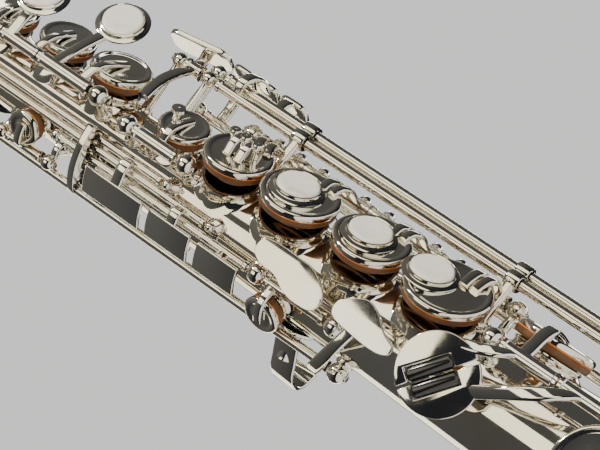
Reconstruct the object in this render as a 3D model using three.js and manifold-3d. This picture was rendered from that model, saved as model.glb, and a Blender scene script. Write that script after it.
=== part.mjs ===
// Straight soprano saxophone, standing upright on its bell rim. Lengths are millimetres.
// +Z runs up the tube from the bell to the mouthpiece and the origin is the centre of the bell
// rim. The finger keys face -Y and +X is the player's left. An angle round the tube is in
// degrees from the front (-Y) and grows towards the player's right hand (-X).

import * as THREE from 'three';
import { mergeVertices } from 'three/addons/utils/BufferGeometryUtils.js';
import Module from 'manifold-3d';

const wasm = await Module();
wasm.setup();

// ---------------------------------------------------------------- driving dimensions

const GAP = 0.3;                  // air between pieces that touch on the real instrument
const CONE_SLOPE = 0.0305;        // radius lost for each millimetre up the tube
const NECK_END = 650;             // where the bare end of the neck stops
const NECK_END_RADIUS = 5.3;
const WALL = 0.8;
const BELL_JOINT = 74;            // the flared bell is soldered on below this height
const BODY_TOP = 592;
const BELL_RADIUS = 47.5;
const RIM_HEIGHT = 2.8;           // drawn tone hole rim above the tube's front line
const PAD_THICKNESS = 1.6;
const PAD_PROUD = 0.9;            // pad that shows below the edge of its cup
const CUP_HEIGHT = 4.2;
const CUP_EDGE = 1.1;             // rounding of a cup's top edge
const PEARL_RADIUS = 6.7;
const TUBE_RADIUS = 2.3;          // hinge tube of a key
const TUBE_BORE = 1.6;
const ROD_RADIUS = 1.2;           // steel rod inside a hinge tube
const POST_BALL = 3.4;

// Hinge lines run parallel to the tube's axis: angle round the tube and distance from it.
const LINES = {
  lowerStack: { phi: -60, rho: 26.5 },
  upperStack: { phi: 21, rho: 23 },
  gSharp: { phi: 27, rho: 22.5 },
  lowB: { phi: -50, rho: 32.9 },
  lowBFlat: { phi: -55, rho: 36.7 },
  lowCSharp: { phi: -85, rho: 29 },
  pinky: { phi: 10, rho: 27 },
  trill: { phi: 70, rho: 19 },
  highFSharp: { phi: 125, rho: 20 },
  sideE: { phi: 50, rho: 18.3 },
  sideC: { phi: 60, rho: 18.3 },
  sideBFlat: { phi: 72, rho: 18.3 },
  sideCups: { phi: 109, rho: 19.5 },
  palm: { phi: -80, rho: 19 },
  octave: { phi: -150, rho: 17 },
};

// Tone holes: height, angle, hole radius, cup radius.
const HOLES = {
  lowBFlat: { z: 93, phi: -90, hole: 14, cup: 17.4 },
  lowB: { z: 134, phi: -88, hole: 13, cup: 16.4 },
  lowCSharp: { z: 167, phi: -126, hole: 10.5, cup: 13.2 },
  lowC: { z: 203, phi: 47, hole: 11.8, cup: 14.8 },
  eFlat: { z: 242.4, phi: -44.4, hole: 10.4, cup: 13.2 },
  d: { z: 273.5, phi: 0, hole: 10.8, cup: 13.8 },
  e: { z: 302, phi: 0, hole: 9.6, cup: 12.3 },
  f: { z: 329.7, phi: 0, hole: 9.9, cup: 12.75 },
  fSharp: { z: 354.4, phi: 0, hole: 8.5, cup: 11.1 },
  trill: { z: 320, phi: 97, hole: 4.2, cup: 6.4 },
  gSharp: { z: 377, phi: -6, hole: 6.2, cup: 8.5 },
  g: { z: 409, phi: -22, hole: 7.6, cup: 10.2 },
  a: { z: 431, phi: -18, hole: 6.8, cup: 9.4 },
  bis: { z: 452.5, phi: -10, hole: 6, cup: 8.5 },
  b: { z: 473, phi: -8, hole: 5.2, cup: 7.6 },
  cVent: { z: 490.5, phi: -4, hole: 3.6, cup: 5.9 },
  sideBFlat: { z: 424, phi: 85, hole: 3.8, cup: 5.9 },
  sideC: { z: 478, phi: 83, hole: 3.6, cup: 5.6 },
  palmD: { z: 507, phi: -42, hole: 3.8, cup: 5.8 },
  palmEFlat: { z: 521.5, phi: -42, hole: 3.6, cup: 5.6 },
  sideE: { z: 536, phi: 12, hole: 3.6, cup: 5.6 },
  palmF: { z: 548, phi: -42, hole: 3.4, cup: 5.4 },
  highFSharp: { z: 561, phi: 160, hole: 3.2, cup: 5 },
};
const OCTAVE_PIPS = { lower: { z: 514, phi: 178 }, upper: { z: 570, phi: 178 } };
const PIP_HEIGHT = 4;

// Degrees that each key turns between closed and open.
const OPENING = {
  lowerStack: 8, upperStack: 9, gSharp: 9, lowB: 9, lowC: 8, lowCSharp: 8, eFlat: 6,
  side: 10, trill: 10, highFSharp: 9, palm: 10, octave: 6,
};

// ---------------------------------------------------------------- finishes

const finish = (color, metalness, roughness) =>
  new THREE.MeshStandardMaterial({ color, metalness, roughness });
const silver = () => finish(0xe6e0cf, 1.0, 0.12);
const steel = () => finish(0x9b9a96, 1.0, 0.3);
const leather = () => finish(0x6b3a1c, 0.0, 0.7);
const pearlShell = () => finish(0xf2ede4, 0.0, 0.25);
const ebonite = () => finish(0x111111, 0.0, 0.25);
const cork = () => finish(0xb98d5e, 0.0, 0.9);
const cane = () => finish(0xd9c27f, 0.0, 0.7);

// ---------------------------------------------------------------- geometry helpers

const radians = THREE.MathUtils.degToRad;
const UP = new THREE.Vector3(0, 0, 1);

/** Outward direction at an angle round the tube. */
const outward = (phi) => new THREE.Vector3(-Math.sin(radians(phi)), -Math.cos(radians(phi)), 0);

/** Point at a distance from the tube's axis, an angle round it and a height. */
const polar = (rho, phi, z) => outward(phi).multiplyScalar(rho).setZ(z);

/** Outer radius of the conical tube. */
const tubeRadius = (z) => NECK_END_RADIUS + (NECK_END - z) * CONE_SLOPE;

/** Volume inside a closed surface, which is negative when its faces point inwards. */
function signedVolume(position, corners) {
  const [a, b, c] = [new THREE.Vector3(), new THREE.Vector3(), new THREE.Vector3()];
  let volume = 0;
  for (let i = 0; i < corners.length; i += 3) {
    a.fromBufferAttribute(position, corners[i]);
    b.fromBufferAttribute(position, corners[i + 1]);
    c.fromBufferAttribute(position, corners[i + 2]);
    volume += a.dot(b.cross(c)) / 6;
  }
  return volume;
}

/** A closed three.js geometry as a solid that can be joined and cut, facing outwards. */
function solid(geometry) {
  const bare = geometry.clone();
  bare.deleteAttribute('normal');
  bare.deleteAttribute('uv');
  const merged = mergeVertices(bare, 1e-4);
  const corners = merged.index.array;
  const kept = [];
  for (let i = 0; i < corners.length; i += 3) {
    const [a, b, c] = [corners[i], corners[i + 1], corners[i + 2]];
    if (a !== b && b !== c && c !== a) kept.push(a, b, c);
  }
  if (signedVolume(merged.attributes.position, kept) < 0) kept.reverse();
  return new wasm.Manifold(new wasm.Mesh({
    numProp: 3,
    vertProperties: new Float32Array(merged.attributes.position.array),
    triVerts: new Uint32Array(kept),
  }));
}

/** Joins a list of solids into one. */
const join = (pieces) => pieces.reduce((whole, piece) => whole.add(piece));

/** Places a solid that was made round +Y so that +Y points along a direction. */
function aim(geometry, origin, direction) {
  const turn = new THREE.Quaternion().setFromUnitVectors(new THREE.Vector3(0, 1, 0), direction);
  geometry.applyMatrix4(new THREE.Matrix4().compose(origin, turn, new THREE.Vector3(1, 1, 1)));
  return solid(geometry);
}

/** Round piece turned from a profile of [radius, height] pairs that starts and ends on the axis. */
function turned(profile, sides, origin, direction) {
  const points = profile.map(([radius, height]) => new THREE.Vector2(radius, height));
  return aim(new THREE.LatheGeometry(points, sides), origin, direction);
}

/** Ring turned from a closed profile. */
const ring = (profile, sides, origin, direction) =>
  turned([...profile, profile[0]], sides, origin, direction);

/** Solid disc or rod from one height to another along a direction. */
const disc = (radius, low, high, sides, origin, direction) =>
  turned([[0, low], [radius, low], [radius, high], [0, high]], sides, origin, direction);

/** Straight round rod between two points. */
function rodBetween(from, to, radius, sides = 8) {
  const run = to.clone().sub(from);
  return disc(radius, 0, run.length(), sides, from, run.clone().normalize());
}

/** Flat strap with a rectangular section, swept along a smooth line with its width along a side. */
function strap(points, width, thickness, side = UP, steps = 3) {
  const path = new THREE.CatmullRomCurve3(points);
  path.computeFrenetFrames = (segments) => {
    const tangents = [];
    const normals = [];
    const binormals = [];
    for (let i = 0; i <= segments; i += 1) {
      const tangent = path.getTangentAt(i / segments).normalize();
      const across = side.clone().addScaledVector(tangent, -side.dot(tangent)).normalize();
      tangents.push(tangent);
      normals.push(across);
      binormals.push(new THREE.Vector3().crossVectors(tangent, across));
    }
    return { tangents, normals, binormals };
  };
  const section = new THREE.Shape([
    new THREE.Vector2(-width / 2, -thickness / 2),
    new THREE.Vector2(width / 2, -thickness / 2),
    new THREE.Vector2(width / 2, thickness / 2),
    new THREE.Vector2(-width / 2, thickness / 2),
  ]);
  return solid(new THREE.ExtrudeGeometry(section, { steps, extrudePath: path }));
}

/** Flat plate with a rounded outline, facing outward at an angle, leaned by a tilt towards the bell. */
function plate(outline, thickness, centre, phi, tilt = 0) {
  const geometry = new THREE.ExtrudeGeometry(outline, {
    depth: thickness, bevelEnabled: false, curveSegments: 2,
  });
  const face = outward(phi).applyAxisAngle(
    new THREE.Vector3().crossVectors(outward(phi), UP), -radians(tilt));
  const across = new THREE.Vector3().crossVectors(UP, face).normalize();
  const upward = new THREE.Vector3().crossVectors(face, across);
  geometry.applyMatrix4(new THREE.Matrix4().makeBasis(across, upward, face).setPosition(centre));
  return solid(geometry);
}

/** Outline of a rounded rectangle centred on the origin. */
function roundedRectangle(width, height, corner) {
  const [x, y] = [width / 2, height / 2];
  const shape = new THREE.Shape();
  shape.moveTo(-x + corner, -y);
  shape.lineTo(x - corner, -y);
  shape.absarc(x - corner, -y + corner, corner, -Math.PI / 2, 0);
  shape.lineTo(x, y - corner);
  shape.absarc(x - corner, y - corner, corner, 0, Math.PI / 2);
  shape.lineTo(-x + corner, y);
  shape.absarc(-x + corner, y - corner, corner, Math.PI / 2, Math.PI);
  shape.lineTo(-x, -y + corner);
  shape.absarc(-x + corner, -y + corner, corner, Math.PI, Math.PI * 1.5);
  return shape;
}

/** Turns a solid round a vertical hinge line, counted counter-clockwise from above. */
function swing(piece, line, degrees) {
  const hinge = polar(line.rho, line.phi, 0);
  return piece
    .translate([-hinge.x, -hinge.y, 0])
    .rotate([0, 0, degrees])
    .translate([hinge.x, hinge.y, 0]);
}

const group = new THREE.Group();

/** Adds a finished solid to the model as a named mesh. */
function addPart(name, piece, material) {
  const { vertProperties, triVerts } = piece.getMesh();
  const geometry = new THREE.BufferGeometry();
  geometry.setAttribute('position', new THREE.BufferAttribute(vertProperties, 3));
  geometry.setIndex(new THREE.BufferAttribute(triVerts, 1));
  geometry.computeVertexNormals();
  const mesh = new THREE.Mesh(geometry, material);
  mesh.name = name;
  group.add(mesh);
}

// ---------------------------------------------------------------- key parts

/** Height of a tone hole's rim plane above the tube's axis. */
const rimPlane = (hole) => tubeRadius(hole.z) + RIM_HEIGHT;

/** Centre of a tone hole's rim. */
const rimCentre = (hole) => polar(rimPlane(hole), hole.phi, hole.z);

/** Height above the rim of a closed cup's flat top. */
const CUP_TOP = GAP + PAD_PROUD + CUP_HEIGHT;

/** Number of sides for a round part of a given radius. */
const sidesFor = (radius) => (radius > 11 ? 18 : radius > 8 ? 14 : 10);

/** Number of sides of a tone hole, which the curved tube cuts into many faces. */
const holeSides = (radius) => (radius > 8 ? 12 : 6);

/** Closed key cup over its tone hole, hollow below when its pad is a piece of its own. */
function cup(hole, hasOwnPad) {
  const { cup: radius } = hole;
  const bottom = GAP + PAD_PROUD;
  const inside = hasOwnPad
    ? [[0, GAP + PAD_THICKNESS + GAP], [radius - 0.6, GAP + PAD_THICKNESS + GAP],
      [radius - 0.6, bottom]]
    : [[0, GAP], [radius - 0.9, GAP]];
  const outside = [
    [radius, bottom], [radius, CUP_TOP - CUP_EDGE], [radius - CUP_EDGE, CUP_TOP], [0, CUP_TOP],
  ];
  return turned([...inside, ...outside], sidesFor(radius), rimCentre(hole), outward(hole.phi));
}

/** Leather pad that fills a hollow cup. */
const pad = (hole) => disc(hole.cup - 0.9, GAP, GAP + PAD_THICKNESS, sidesFor(hole.cup),
  rimCentre(hole), outward(hole.phi));

/** Silver dish that holds a finger pearl, standing on a wider base. */
const pearlDish = (centre, direction) => turned([
  [0, 0], [8.4, 0], [7.6, 3], [PEARL_RADIUS + GAP, 3], [PEARL_RADIUS + GAP, 1.6], [0, 1.6],
], 12, centre, direction);

/** Finger pearl, hollowed a little in the middle for the fingertip. */
const pearl = (centre, direction) => turned([
  [0, 1.9], [PEARL_RADIUS, 1.9], [PEARL_RADIUS - 0.5, 3.7], [0, 3.2],
], 12, centre, direction);

/** Hollow hinge tube of a key between two heights. */
const hingeTube = (line, bottom, top, radius = TUBE_RADIUS) => ring([
  [TUBE_BORE, bottom], [radius, bottom], [radius, top], [TUBE_BORE, top],
], 8, polar(line.rho, line.phi, 0), UP);

/** Solid pivot rod of a key that turns between points, with no rod through it. */
const pivotRod = (line, bottom, top, radius) => disc(radius, bottom, top, 8,
  polar(line.rho, line.phi, 0), UP);

/** Arm from a hinge tube onto a closed cup, ending a part of the cup's radius past its middle. */
function cupArm(hole, line, z, width = 4, past = 0.35) {
  const top = rimPlane(hole) + CUP_TOP;
  const side = hole.phi > line.phi ? 1 : -1;
  const along = outward(hole.phi + 90).multiplyScalar(side * hole.cup);
  const end = outward(hole.phi).multiplyScalar(top + 0.2).addScaledVector(along, past)
    .setZ(hole.z);
  const overEdge = outward(hole.phi).multiplyScalar(top + 1.2).addScaledVector(along, -0.9)
    .setZ((hole.z + z) / 2);
  return strap([polar(line.rho, line.phi + 3 * side, z), overEdge, end], width, 1.8);
}

/** Turn that opens a key whose cup lies on one side of its hinge. */
const openTurn = (hole, line, degrees) => (hole.phi > line.phi ? degrees : -degrees);

/** Smooth closed outline through a few points. */
function smoothOutline(points, samples) {
  const corners = points.map(([x, y]) => new THREE.Vector3(x, y, 0));
  const curve = new THREE.CatmullRomCurve3(corners, true, 'centripetal');
  return new THREE.Shape(curve.getPoints(samples).slice(0, -1)
    .map(({ x, y }) => new THREE.Vector2(x, y)));
}

// ---------------------------------------------------------------- tube, neck and bell

/** Outer and inner profile of the cone between two heights. */
const conePiece = (bottom, top, inset) => turned([
  [0, bottom], [tubeRadius(bottom) - inset, bottom], [tubeRadius(top) - inset, top], [0, top],
], 20, new THREE.Vector3(), UP);

/** Post with a ball head that carries the end of a hinge line, soldered to the tube on a foot. */
function post(line, z, ball = POST_BALL) {
  const reach = line.rho - tubeRadius(z) + 0.8;
  const profile = [[0, 0], [2.8, 0], [1.4, reach - 0.9 * ball], [ball, reach - 0.4 * ball],
    [ball, reach + 0.4 * ball], [0.5 * ball, reach + ball], [0, reach + ball]];
  return turned(profile, 6, polar(tubeRadius(z) - 0.8, line.phi, z), outward(line.phi));
}

const postsOn = (line, heights, ball) => heights.map((z) => post(line, z, ball));
const SLIM_BALL = 1.6;
const SMALL_BALL = 2.6;

const tubePosts = [
  ...postsOn(LINES.lowerStack, [260.3, 365.7]),
  ...postsOn(LINES.upperStack, [404.3, 500.8]),
  ...postsOn(LINES.gSharp, [365.2, 389.8]),
  ...postsOn(LINES.pinky, [252.4, 185.8]),
  ...postsOn(LINES.trill, [296.8, 327.1]),
  ...postsOn(LINES.highFSharp, [293.2, 569.2]),
  ...postsOn(LINES.sideE, [368.4, 541.8], SLIM_BALL),
  ...postsOn(LINES.sideC, [348.6, 467.6], SLIM_BALL),
  ...postsOn(LINES.sideBFlat, [329.4, 411.8], SLIM_BALL),
  ...postsOn(LINES.sideCups, [413.2, 433.8, 467.8, 487.2], SMALL_BALL),
  ...postsOn(LINES.palm, [484.6, 510.4, 529, 556]),
  ...postsOn(LINES.octave, [462.6, 501.6, 531.6, 578.2]),
  ...postsOn(LINES.lowCSharp, [158.6, 393]),
  ...postsOn(LINES.lowB, [122.2, 387.4, 399.8], SMALL_BALL),
  ...postsOn(LINES.lowBFlat, [82.8, 387.4], SMALL_BALL),
];

// The three long low-note tubes run through bored supports on their way down the body.
const LONG_TUBE_RADIUS = 1.9;
const SUPPORT_HEIGHTS = [265, 349];
const SUPPORT_HEAD = [3.1, 2.5];
const longTubeSupports = SUPPORT_HEIGHTS.flatMap((z) => [
  rodBetween(polar(tubeRadius(z) - 0.4, -40, z), polar(32.5, -48, z), 1.7, 6),
  ...[LINES.lowB, LINES.lowBFlat].map((line) =>
    disc(SUPPORT_HEAD[0], -SUPPORT_HEAD[1], SUPPORT_HEAD[1], 8, polar(line.rho, line.phi, z), UP)),
]);
const longTubeBores = [LINES.lowB, LINES.lowBFlat].map((line) =>
  pivotRod(line, SUPPORT_HEIGHTS[0] - 6, SUPPORT_HEIGHTS[1] + 6, LONG_TUBE_RADIUS + GAP));
const stackRodBores = [
  pivotRod(LINES.lowerStack, 250, 376, ROD_RADIUS + GAP),
  pivotRod(LINES.upperStack, 394, 511, ROD_RADIUS + GAP),
];

const chimneys = Object.values(HOLES).map((hole) => disc(hole.hole + WALL, -tubeRadius(hole.z),
  0, holeSides(hole.hole), rimCentre(hole), outward(hole.phi)));
const drilledHoles = Object.values(HOLES).map((hole) => disc(hole.hole, -tubeRadius(hole.z),
  2, holeSides(hole.hole), rimCentre(hole), outward(hole.phi)));
const pips = Object.values(OCTAVE_PIPS).map(({ z, phi }) => disc(2, -2, PIP_HEIGHT, 6,
  polar(tubeRadius(z), phi, z), outward(phi)));
const pipBores = Object.values(OCTAVE_PIPS).map(({ z, phi }) => disc(0.9, -6, PIP_HEIGHT + 1, 6,
  polar(tubeRadius(z), phi, z), outward(phi)));

const RING_HALF = 4;
const bodyOutside = join([
  conePiece(BELL_JOINT + GAP, BODY_TOP, 0), ...chimneys, ...pips, ...tubePosts,
  ...longTubeSupports,
]);
const bodyBore = conePiece(BELL_JOINT - 1, BODY_TOP + 1, WALL);
const body = [...drilledHoles, ...pipBores, ...longTubeBores, ...stackRodBores]
  .reduce((whole, cutter) => whole.subtract(cutter), bodyOutside.subtract(bodyBore));
addPart('body_tube', body, silver());

// The bell flares to its rolled rim, which is flat underneath so that it can stand.
const bellFlare = (z) => tubeRadius(z)
  + (BELL_RADIUS - 1.6 - tubeRadius(0)) * ((BELL_JOINT - z) / BELL_JOINT) ** 3.4;
const BELL_STEPS = 6;
const bellHeights = Array.from({ length: BELL_STEPS + 1 }, (_, step) =>
  BELL_JOINT - (BELL_JOINT - 2) * (step / BELL_STEPS) ** 0.75);
const bellOutside = bellHeights.map((z) => [bellFlare(z), z]);
const bellInside = bellHeights.map((z) => [bellFlare(z) - WALL, z]).reverse();
const bellRim = [[BELL_RADIUS, 2.4], [BELL_RADIUS, 1], [BELL_RADIUS - 1, 0],
  [BELL_RADIUS - 3.2, 0], [BELL_RADIUS - 3.8, 0.8]];
addPart('bell', ring([...bellOutside, ...bellRim, ...bellInside], 28,
  new THREE.Vector3(), UP), silver());

addPart('bell_ring', ring([
  [tubeRadius(BELL_JOINT - RING_HALF) + 0.6, BELL_JOINT - RING_HALF],
  [tubeRadius(BELL_JOINT) + 2, BELL_JOINT - RING_HALF + 1],
  [tubeRadius(BELL_JOINT) + 2, BELL_JOINT + RING_HALF - 1],
  [tubeRadius(BELL_JOINT - RING_HALF) + 0.6, BELL_JOINT + RING_HALF],
], 24, new THREE.Vector3(), UP), silver());

// The detachable neck's tenon sits inside the body's top, clamped by a split socket ring.
const TENON_BOTTOM = 574;
const NECK_BORE = 4.5;
addPart('neck', ring([
  [5.9, TENON_BOTTOM], [5.9, BODY_TOP + GAP], [8.4, BODY_TOP + GAP], [8.4, 596], [7, 597.5],
  [6.9, 606], [5.6, 622], [5.3, NECK_END], [NECK_BORE, NECK_END], [5.1, TENON_BOTTOM],
], 20, new THREE.Vector3(), UP), silver());

const SOCKET_INNER = tubeRadius(582) + 0.5;
const socketBand = ring([
  [SOCKET_INNER, 582.6], [SOCKET_INNER + 1.7, 582.6], [SOCKET_INNER + 1.7, 591.6],
  [SOCKET_INNER, 591.6],
], 20, new THREE.Vector3(), UP);
const socketLug = aim(new THREE.BoxGeometry(7, 5, 5.5), polar(SOCKET_INNER + 3.2, 90, 587),
  outward(90));
const clampAxis = outward(0);
const clampCentre = polar(SOCKET_INNER + 4, 90, 587);
const clampHole = disc(1.3, -9, 9, 10, clampCentre, clampAxis);
addPart('neck_socket_ring', socketBand.add(socketLug).subtract(
  aim(new THREE.BoxGeometry(30, 14, 1.2), polar(SOCKET_INNER + 5, 90, 587), outward(90)))
  .subtract(clampHole), silver());
addPart('neck_clamp_screw', join([
  disc(1, -6, 5, 10, clampCentre, clampAxis),
  disc(3.4, 4.2, 6, 12, clampCentre, clampAxis),
]), silver());

addPart('neck_cork', ring([
  [6, 623.5], [7.9, 623.5], [7.9, 648.5], [6, 648.5],
], 24, new THREE.Vector3(), UP), cork());

// ---------------------------------------------------------------- mouthpiece

// The mouthpiece's table and reed face the player's lower lip, on the back of the instrument.
const MOUTHPIECE_BOTTOM = 634;
const MOUTHPIECE_TOP = 698;
const TABLE_DEPTH = 6.6;
const LIGATURE_INNER = 11.3;
const mouthpieceBody = turned([
  [0, MOUTHPIECE_BOTTOM], [10.7, MOUTHPIECE_BOTTOM], [10.9, MOUTHPIECE_BOTTOM + 8],
  [10, MOUTHPIECE_BOTTOM + 12], [9.6, 674], [8, MOUTHPIECE_TOP], [0, MOUTHPIECE_TOP],
], 18, new THREE.Vector3(), UP);
const shankBore = disc(7.9 + GAP, MOUTHPIECE_BOTTOM - 1, NECK_END + 0.5, 14,
  new THREE.Vector3(), UP);
const chamberBore = disc(5.2, NECK_END, 684, 12, new THREE.Vector3(), UP);
const tableCut = solid(new THREE.BoxGeometry(30, 12, 60).translate(0, TABLE_DEPTH + 6, 680));
const windowCut = solid(new THREE.BoxGeometry(8.4, 8, 27).translate(0, 4.5, 682.4));
const beakCut = solid(new THREE.BoxGeometry(40, 20, 60)
  .translate(0, -10, 0)
  .rotateX(radians(-26))
  .translate(0, -8.6, 672 + 9));
const mouthpiece = [shankBore, chamberBore, tableCut, windowCut, beakCut]
  .reduce((whole, cutter) => whole.subtract(cutter), mouthpieceBody);
addPart('mouthpiece', mouthpiece, ebonite());

const reedProfile = new THREE.Shape([
  new THREE.Vector2(656, 0), new THREE.Vector2(697.4, 0), new THREE.Vector2(697.4, 0.3),
  new THREE.Vector2(676, 2.4), new THREE.Vector2(656, 2.6),
]);
const reedBlank = new THREE.ExtrudeGeometry(reedProfile, { depth: 11, bevelEnabled: false });
reedBlank.applyMatrix4(new THREE.Matrix4().makeBasis(
  UP, new THREE.Vector3(0, 1, 0), new THREE.Vector3(-1, 0, 0),
).setPosition(5.5, TABLE_DEPTH + GAP, 0));
addPart('reed', solid(reedBlank), cane());

const ligatureBand = ring([
  [LIGATURE_INNER, 657], [LIGATURE_INNER + 0.8, 657], [LIGATURE_INNER + 0.8, 671],
  [LIGATURE_INNER, 671],
], 24, new THREE.Vector3(), UP);
const ligatureScrews = [660, 668].map((z) =>
  disc(1.5, -5, 8, 8, polar(LIGATURE_INNER + 2, 180, z), outward(-90)));
addPart('ligature', join([ligatureBand, ...ligatureScrews]), silver());

// ---------------------------------------------------------------- fittings on the body

const HOOK_HEIGHT = 9;
const hookPath = [[20.5, 146], [28, 156], [36, 163], [41, 174], [40, 184]]
  .map(([rho, phi]) => polar(rho, phi, 316));
const hookPlate = disc(7, 0, 1.4, 10, polar(tubeRadius(316) + GAP + 0.4, 156, 316), outward(156));
const hookStem = rodBetween(polar(tubeRadius(316) + 1, 156, 316), polar(28, 156, 316), 2.2);
addPart('thumb_hook', join([hookPlate, hookStem, strap(hookPath, HOOK_HEIGHT, 1.4, UP, 8)]), silver());

const REST_HEIGHT = 449;
addPart('thumb_rest', turned([
  [0, 0], [6.8, 0], [6.8, 1.6], [5.6, 2.6], [0, 2.9],
], 16, polar(tubeRadius(REST_HEIGHT) + GAP + 0.3, 180, REST_HEIGHT), outward(180)), ebonite());

const STRAP_RING_HEIGHT = 372;
const strapRing = ring([[4.2, -1.1], [5.6, -1.1], [5.6, 1.1], [4.2, 1.1]], 16,
  polar(tubeRadius(STRAP_RING_HEIGHT) + 8, 180, STRAP_RING_HEIGHT), outward(90));
const strapFoot = disc(2.4, GAP + 0.2, 3.6, 8,
  polar(tubeRadius(STRAP_RING_HEIGHT), 180, STRAP_RING_HEIGHT), outward(180));
addPart('strap_ring', join([strapRing, strapFoot]), silver());

// A saddle plate keeps the three side key rods in line below the upper stack.
const GUIDE_HEIGHT = 399;
const guideOutline = new THREE.Shape();
guideOutline.absarc(0, 0, 24, radians(-16), radians(48), false);
guideOutline.absarc(0, 0, tubeRadius(GUIDE_HEIGHT) + GAP + 0.3, radians(48), radians(-16), true);
const guidePlate = new THREE.ExtrudeGeometry(guideOutline, {
  depth: 2.6, bevelEnabled: false, curveSegments: 8,
});
guidePlate.rotateZ(radians(180)).translate(0, 0, GUIDE_HEIGHT - 1.3);
const guideHoles = [LINES.sideE, LINES.sideC, LINES.sideBFlat].map((line) =>
  pivotRod(line, GUIDE_HEIGHT - 3, GUIDE_HEIGHT + 3, 1.7));
addPart('side_key_guide', guideHoles.reduce((whole, hole) => whole.subtract(hole),
  solid(guidePlate)), silver());

addPart('lower_stack_rod', pivotRod(LINES.lowerStack, 257.2, 369, ROD_RADIUS), steel());
addPart('upper_stack_rod', pivotRod(LINES.upperStack, 401, 504, ROD_RADIUS), steel());

const GUARD_RHO = 41;
const guardRail = strap([
  polar(tubeRadius(112.5) + GAP, -125, 113), polar(GUARD_RHO, -120, 113),
  polar(GUARD_RHO + 1, -104, 113), polar(GUARD_RHO + 1, -90, 113.6),
  polar(GUARD_RHO, -74, 113), polar(tubeRadius(112.5) + GAP, -64, 113),
], 3, 2.4, UP, 10);
addPart('bell_key_guard', guardRail, silver());

// ---------------------------------------------------------------- keys

/**
 * Joins a key's pieces and turns those made closed to the rest position. The bore is cleared for
 * the rod that the key turns on, and the placed pieces are made where they rest.
 */
function buildKey(name, line, pieces, { restTurn = 0, bore = null, placed = [] } = {}) {
  const turnedPieces = swing(join(pieces), line, restTurn);
  const whole = join([turnedPieces, ...placed]);
  addPart(name, bore ? whole.subtract(bore) : whole, silver());
}

/** Bore through a hinge tube that turns on a separate steel rod. */
const boreOf = (line, bottom, top) => pivotRod(line, bottom - 1, top + 1, TUBE_BORE);

// Stack keys: cup, arm and pearl on a hinge tube that turns on the stack's steel rod.
const PEARL_STAND = CUP_TOP - 1.7;

/** Pearl place on top of a cup, shifted up or down the tube from the cup's centre. */
const pearlOnCup = (hole, shift) =>
  outward(hole.phi).multiplyScalar(rimPlane(hole) + PEARL_STAND).setZ(hole.z + shift);

const LOWER_KEYS = {
  f_sharp: { hole: HOLES.fSharp, tube: [344, 361.8], arm: 355.2 },
  f: { hole: HOLES.f, tube: [317.6, 343.6], pearlShift: 1.7 },
  e: { hole: HOLES.e, tube: [289.4, 317.2], pearlShift: 1.4 },
  d: { hole: HOLES.d, tube: [264, 289], pearlShift: 6.8 },
};
for (const [note, { hole, tube, arm, pearlShift }] of Object.entries(LOWER_KEYS)) {
  const line = LINES.lowerStack;
  const turn = openTurn(hole, line, OPENING.lowerStack);
  const pieces = [
    cup(hole, true), hingeTube(line, ...tube),
    cupArm(hole, line, arm ?? hole.z - 3, 4, pearlShift === undefined ? 0.3 : -0.62),
    cupArm(hole, line, hole.z + 5, 3, -0.62),
  ];
  if (pearlShift !== undefined) {
    const place = pearlOnCup(hole, pearlShift);
    pieces.push(pearlDish(place, outward(hole.phi)));
    addPart(`${note}_pearl`, swing(pearl(place, outward(hole.phi)), line, turn), pearlShell());
  }
  buildKey(`${note}_key`, line, pieces, { restTurn: turn, bore: boreOf(line, ...tube) });
  addPart(`${note}_pad`, swing(pad(hole), line, turn), leather());
}

// The upper stack's pearls stand on arms of their own, further out to the player's left.
const UPPER_KEYS = {
  g: { hole: HOLES.g, tube: [408, 429.4], arm: 413, pearlAt: [18.2, -22.7, 418.6], pearlArm: 423.5 },
  a: { hole: HOLES.a, tube: [430, 445.4], arm: 433, pearlAt: [8.8, -24.6, 444.6], pearlArm: 442.6 },
  bis: { hole: HOLES.bis, tube: [446, 457.4], arm: 452 },
  b: { hole: HOLES.b, tube: [458, 481.4], arm: 474, pearlAt: [6.5, -24.6, 465], pearlArm: 463 },
  c_vent: { hole: HOLES.cVent, tube: [482, 496.8], arm: 490 },
};
for (const [note, { hole, tube, arm, pearlAt, pearlArm }] of Object.entries(UPPER_KEYS)) {
  const line = LINES.upperStack;
  const turn = openTurn(hole, line, OPENING.upperStack);
  const pieces = [
    cup(hole, note === 'g'), hingeTube(line, ...tube), cupArm(hole, line, arm, 3.4),
  ];
  if (pearlAt) {
    const place = new THREE.Vector3(...pearlAt);
    const facing = outward(-7 - turn);
    const under = place.clone().addScaledVector(facing, -0.4);
    const start = polar(line.rho + 1.4, line.phi, pearlArm);
    const rise = start.clone().lerp(under, 0.45).addScaledVector(facing, 0.8);
    pieces.push(pearlDish(place, facing), strap([start, rise, under], 4.2, 2));
    addPart(`${note}_pearl`, swing(pearl(place, facing), line, turn), pearlShell());
  }
  buildKey(`${note}_key`, line, pieces, { restTurn: turn, bore: boreOf(line, ...tube) });
  if (note === 'g') addPart('g_pad', swing(pad(hole), line, turn), leather());
}

// G sharp: a touch lever on the left reaches across and frees the sprung cup key on the right.
const gSharpLine = LINES.gSharp;
buildKey('g_sharp_key', gSharpLine, [
  cup(HOLES.gSharp, false), pivotRod(gSharpLine, 369, 386, TUBE_RADIUS),
  cupArm(HOLES.gSharp, gSharpLine, 377, 3.4),
]);
buildKey('g_sharp_lever', LINES.lowB, [
  pivotRod(LINES.lowB, 390.4, 396.8, TUBE_RADIUS),
  strap([polar(32.9, -50, 394), polar(29, -32, 393.6), polar(27.5, -12, 392.4),
    polar(27, 6, 391)], 4, 2),
  strap([polar(33, -50, 394.4), polar(37, -56, 395), polar(41, -60, 397)], 4, 2),
  plate(roundedRectangle(12, 23, 4), 1.8, polar(40.4, -62, 400), -58, -8),
]);

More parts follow.
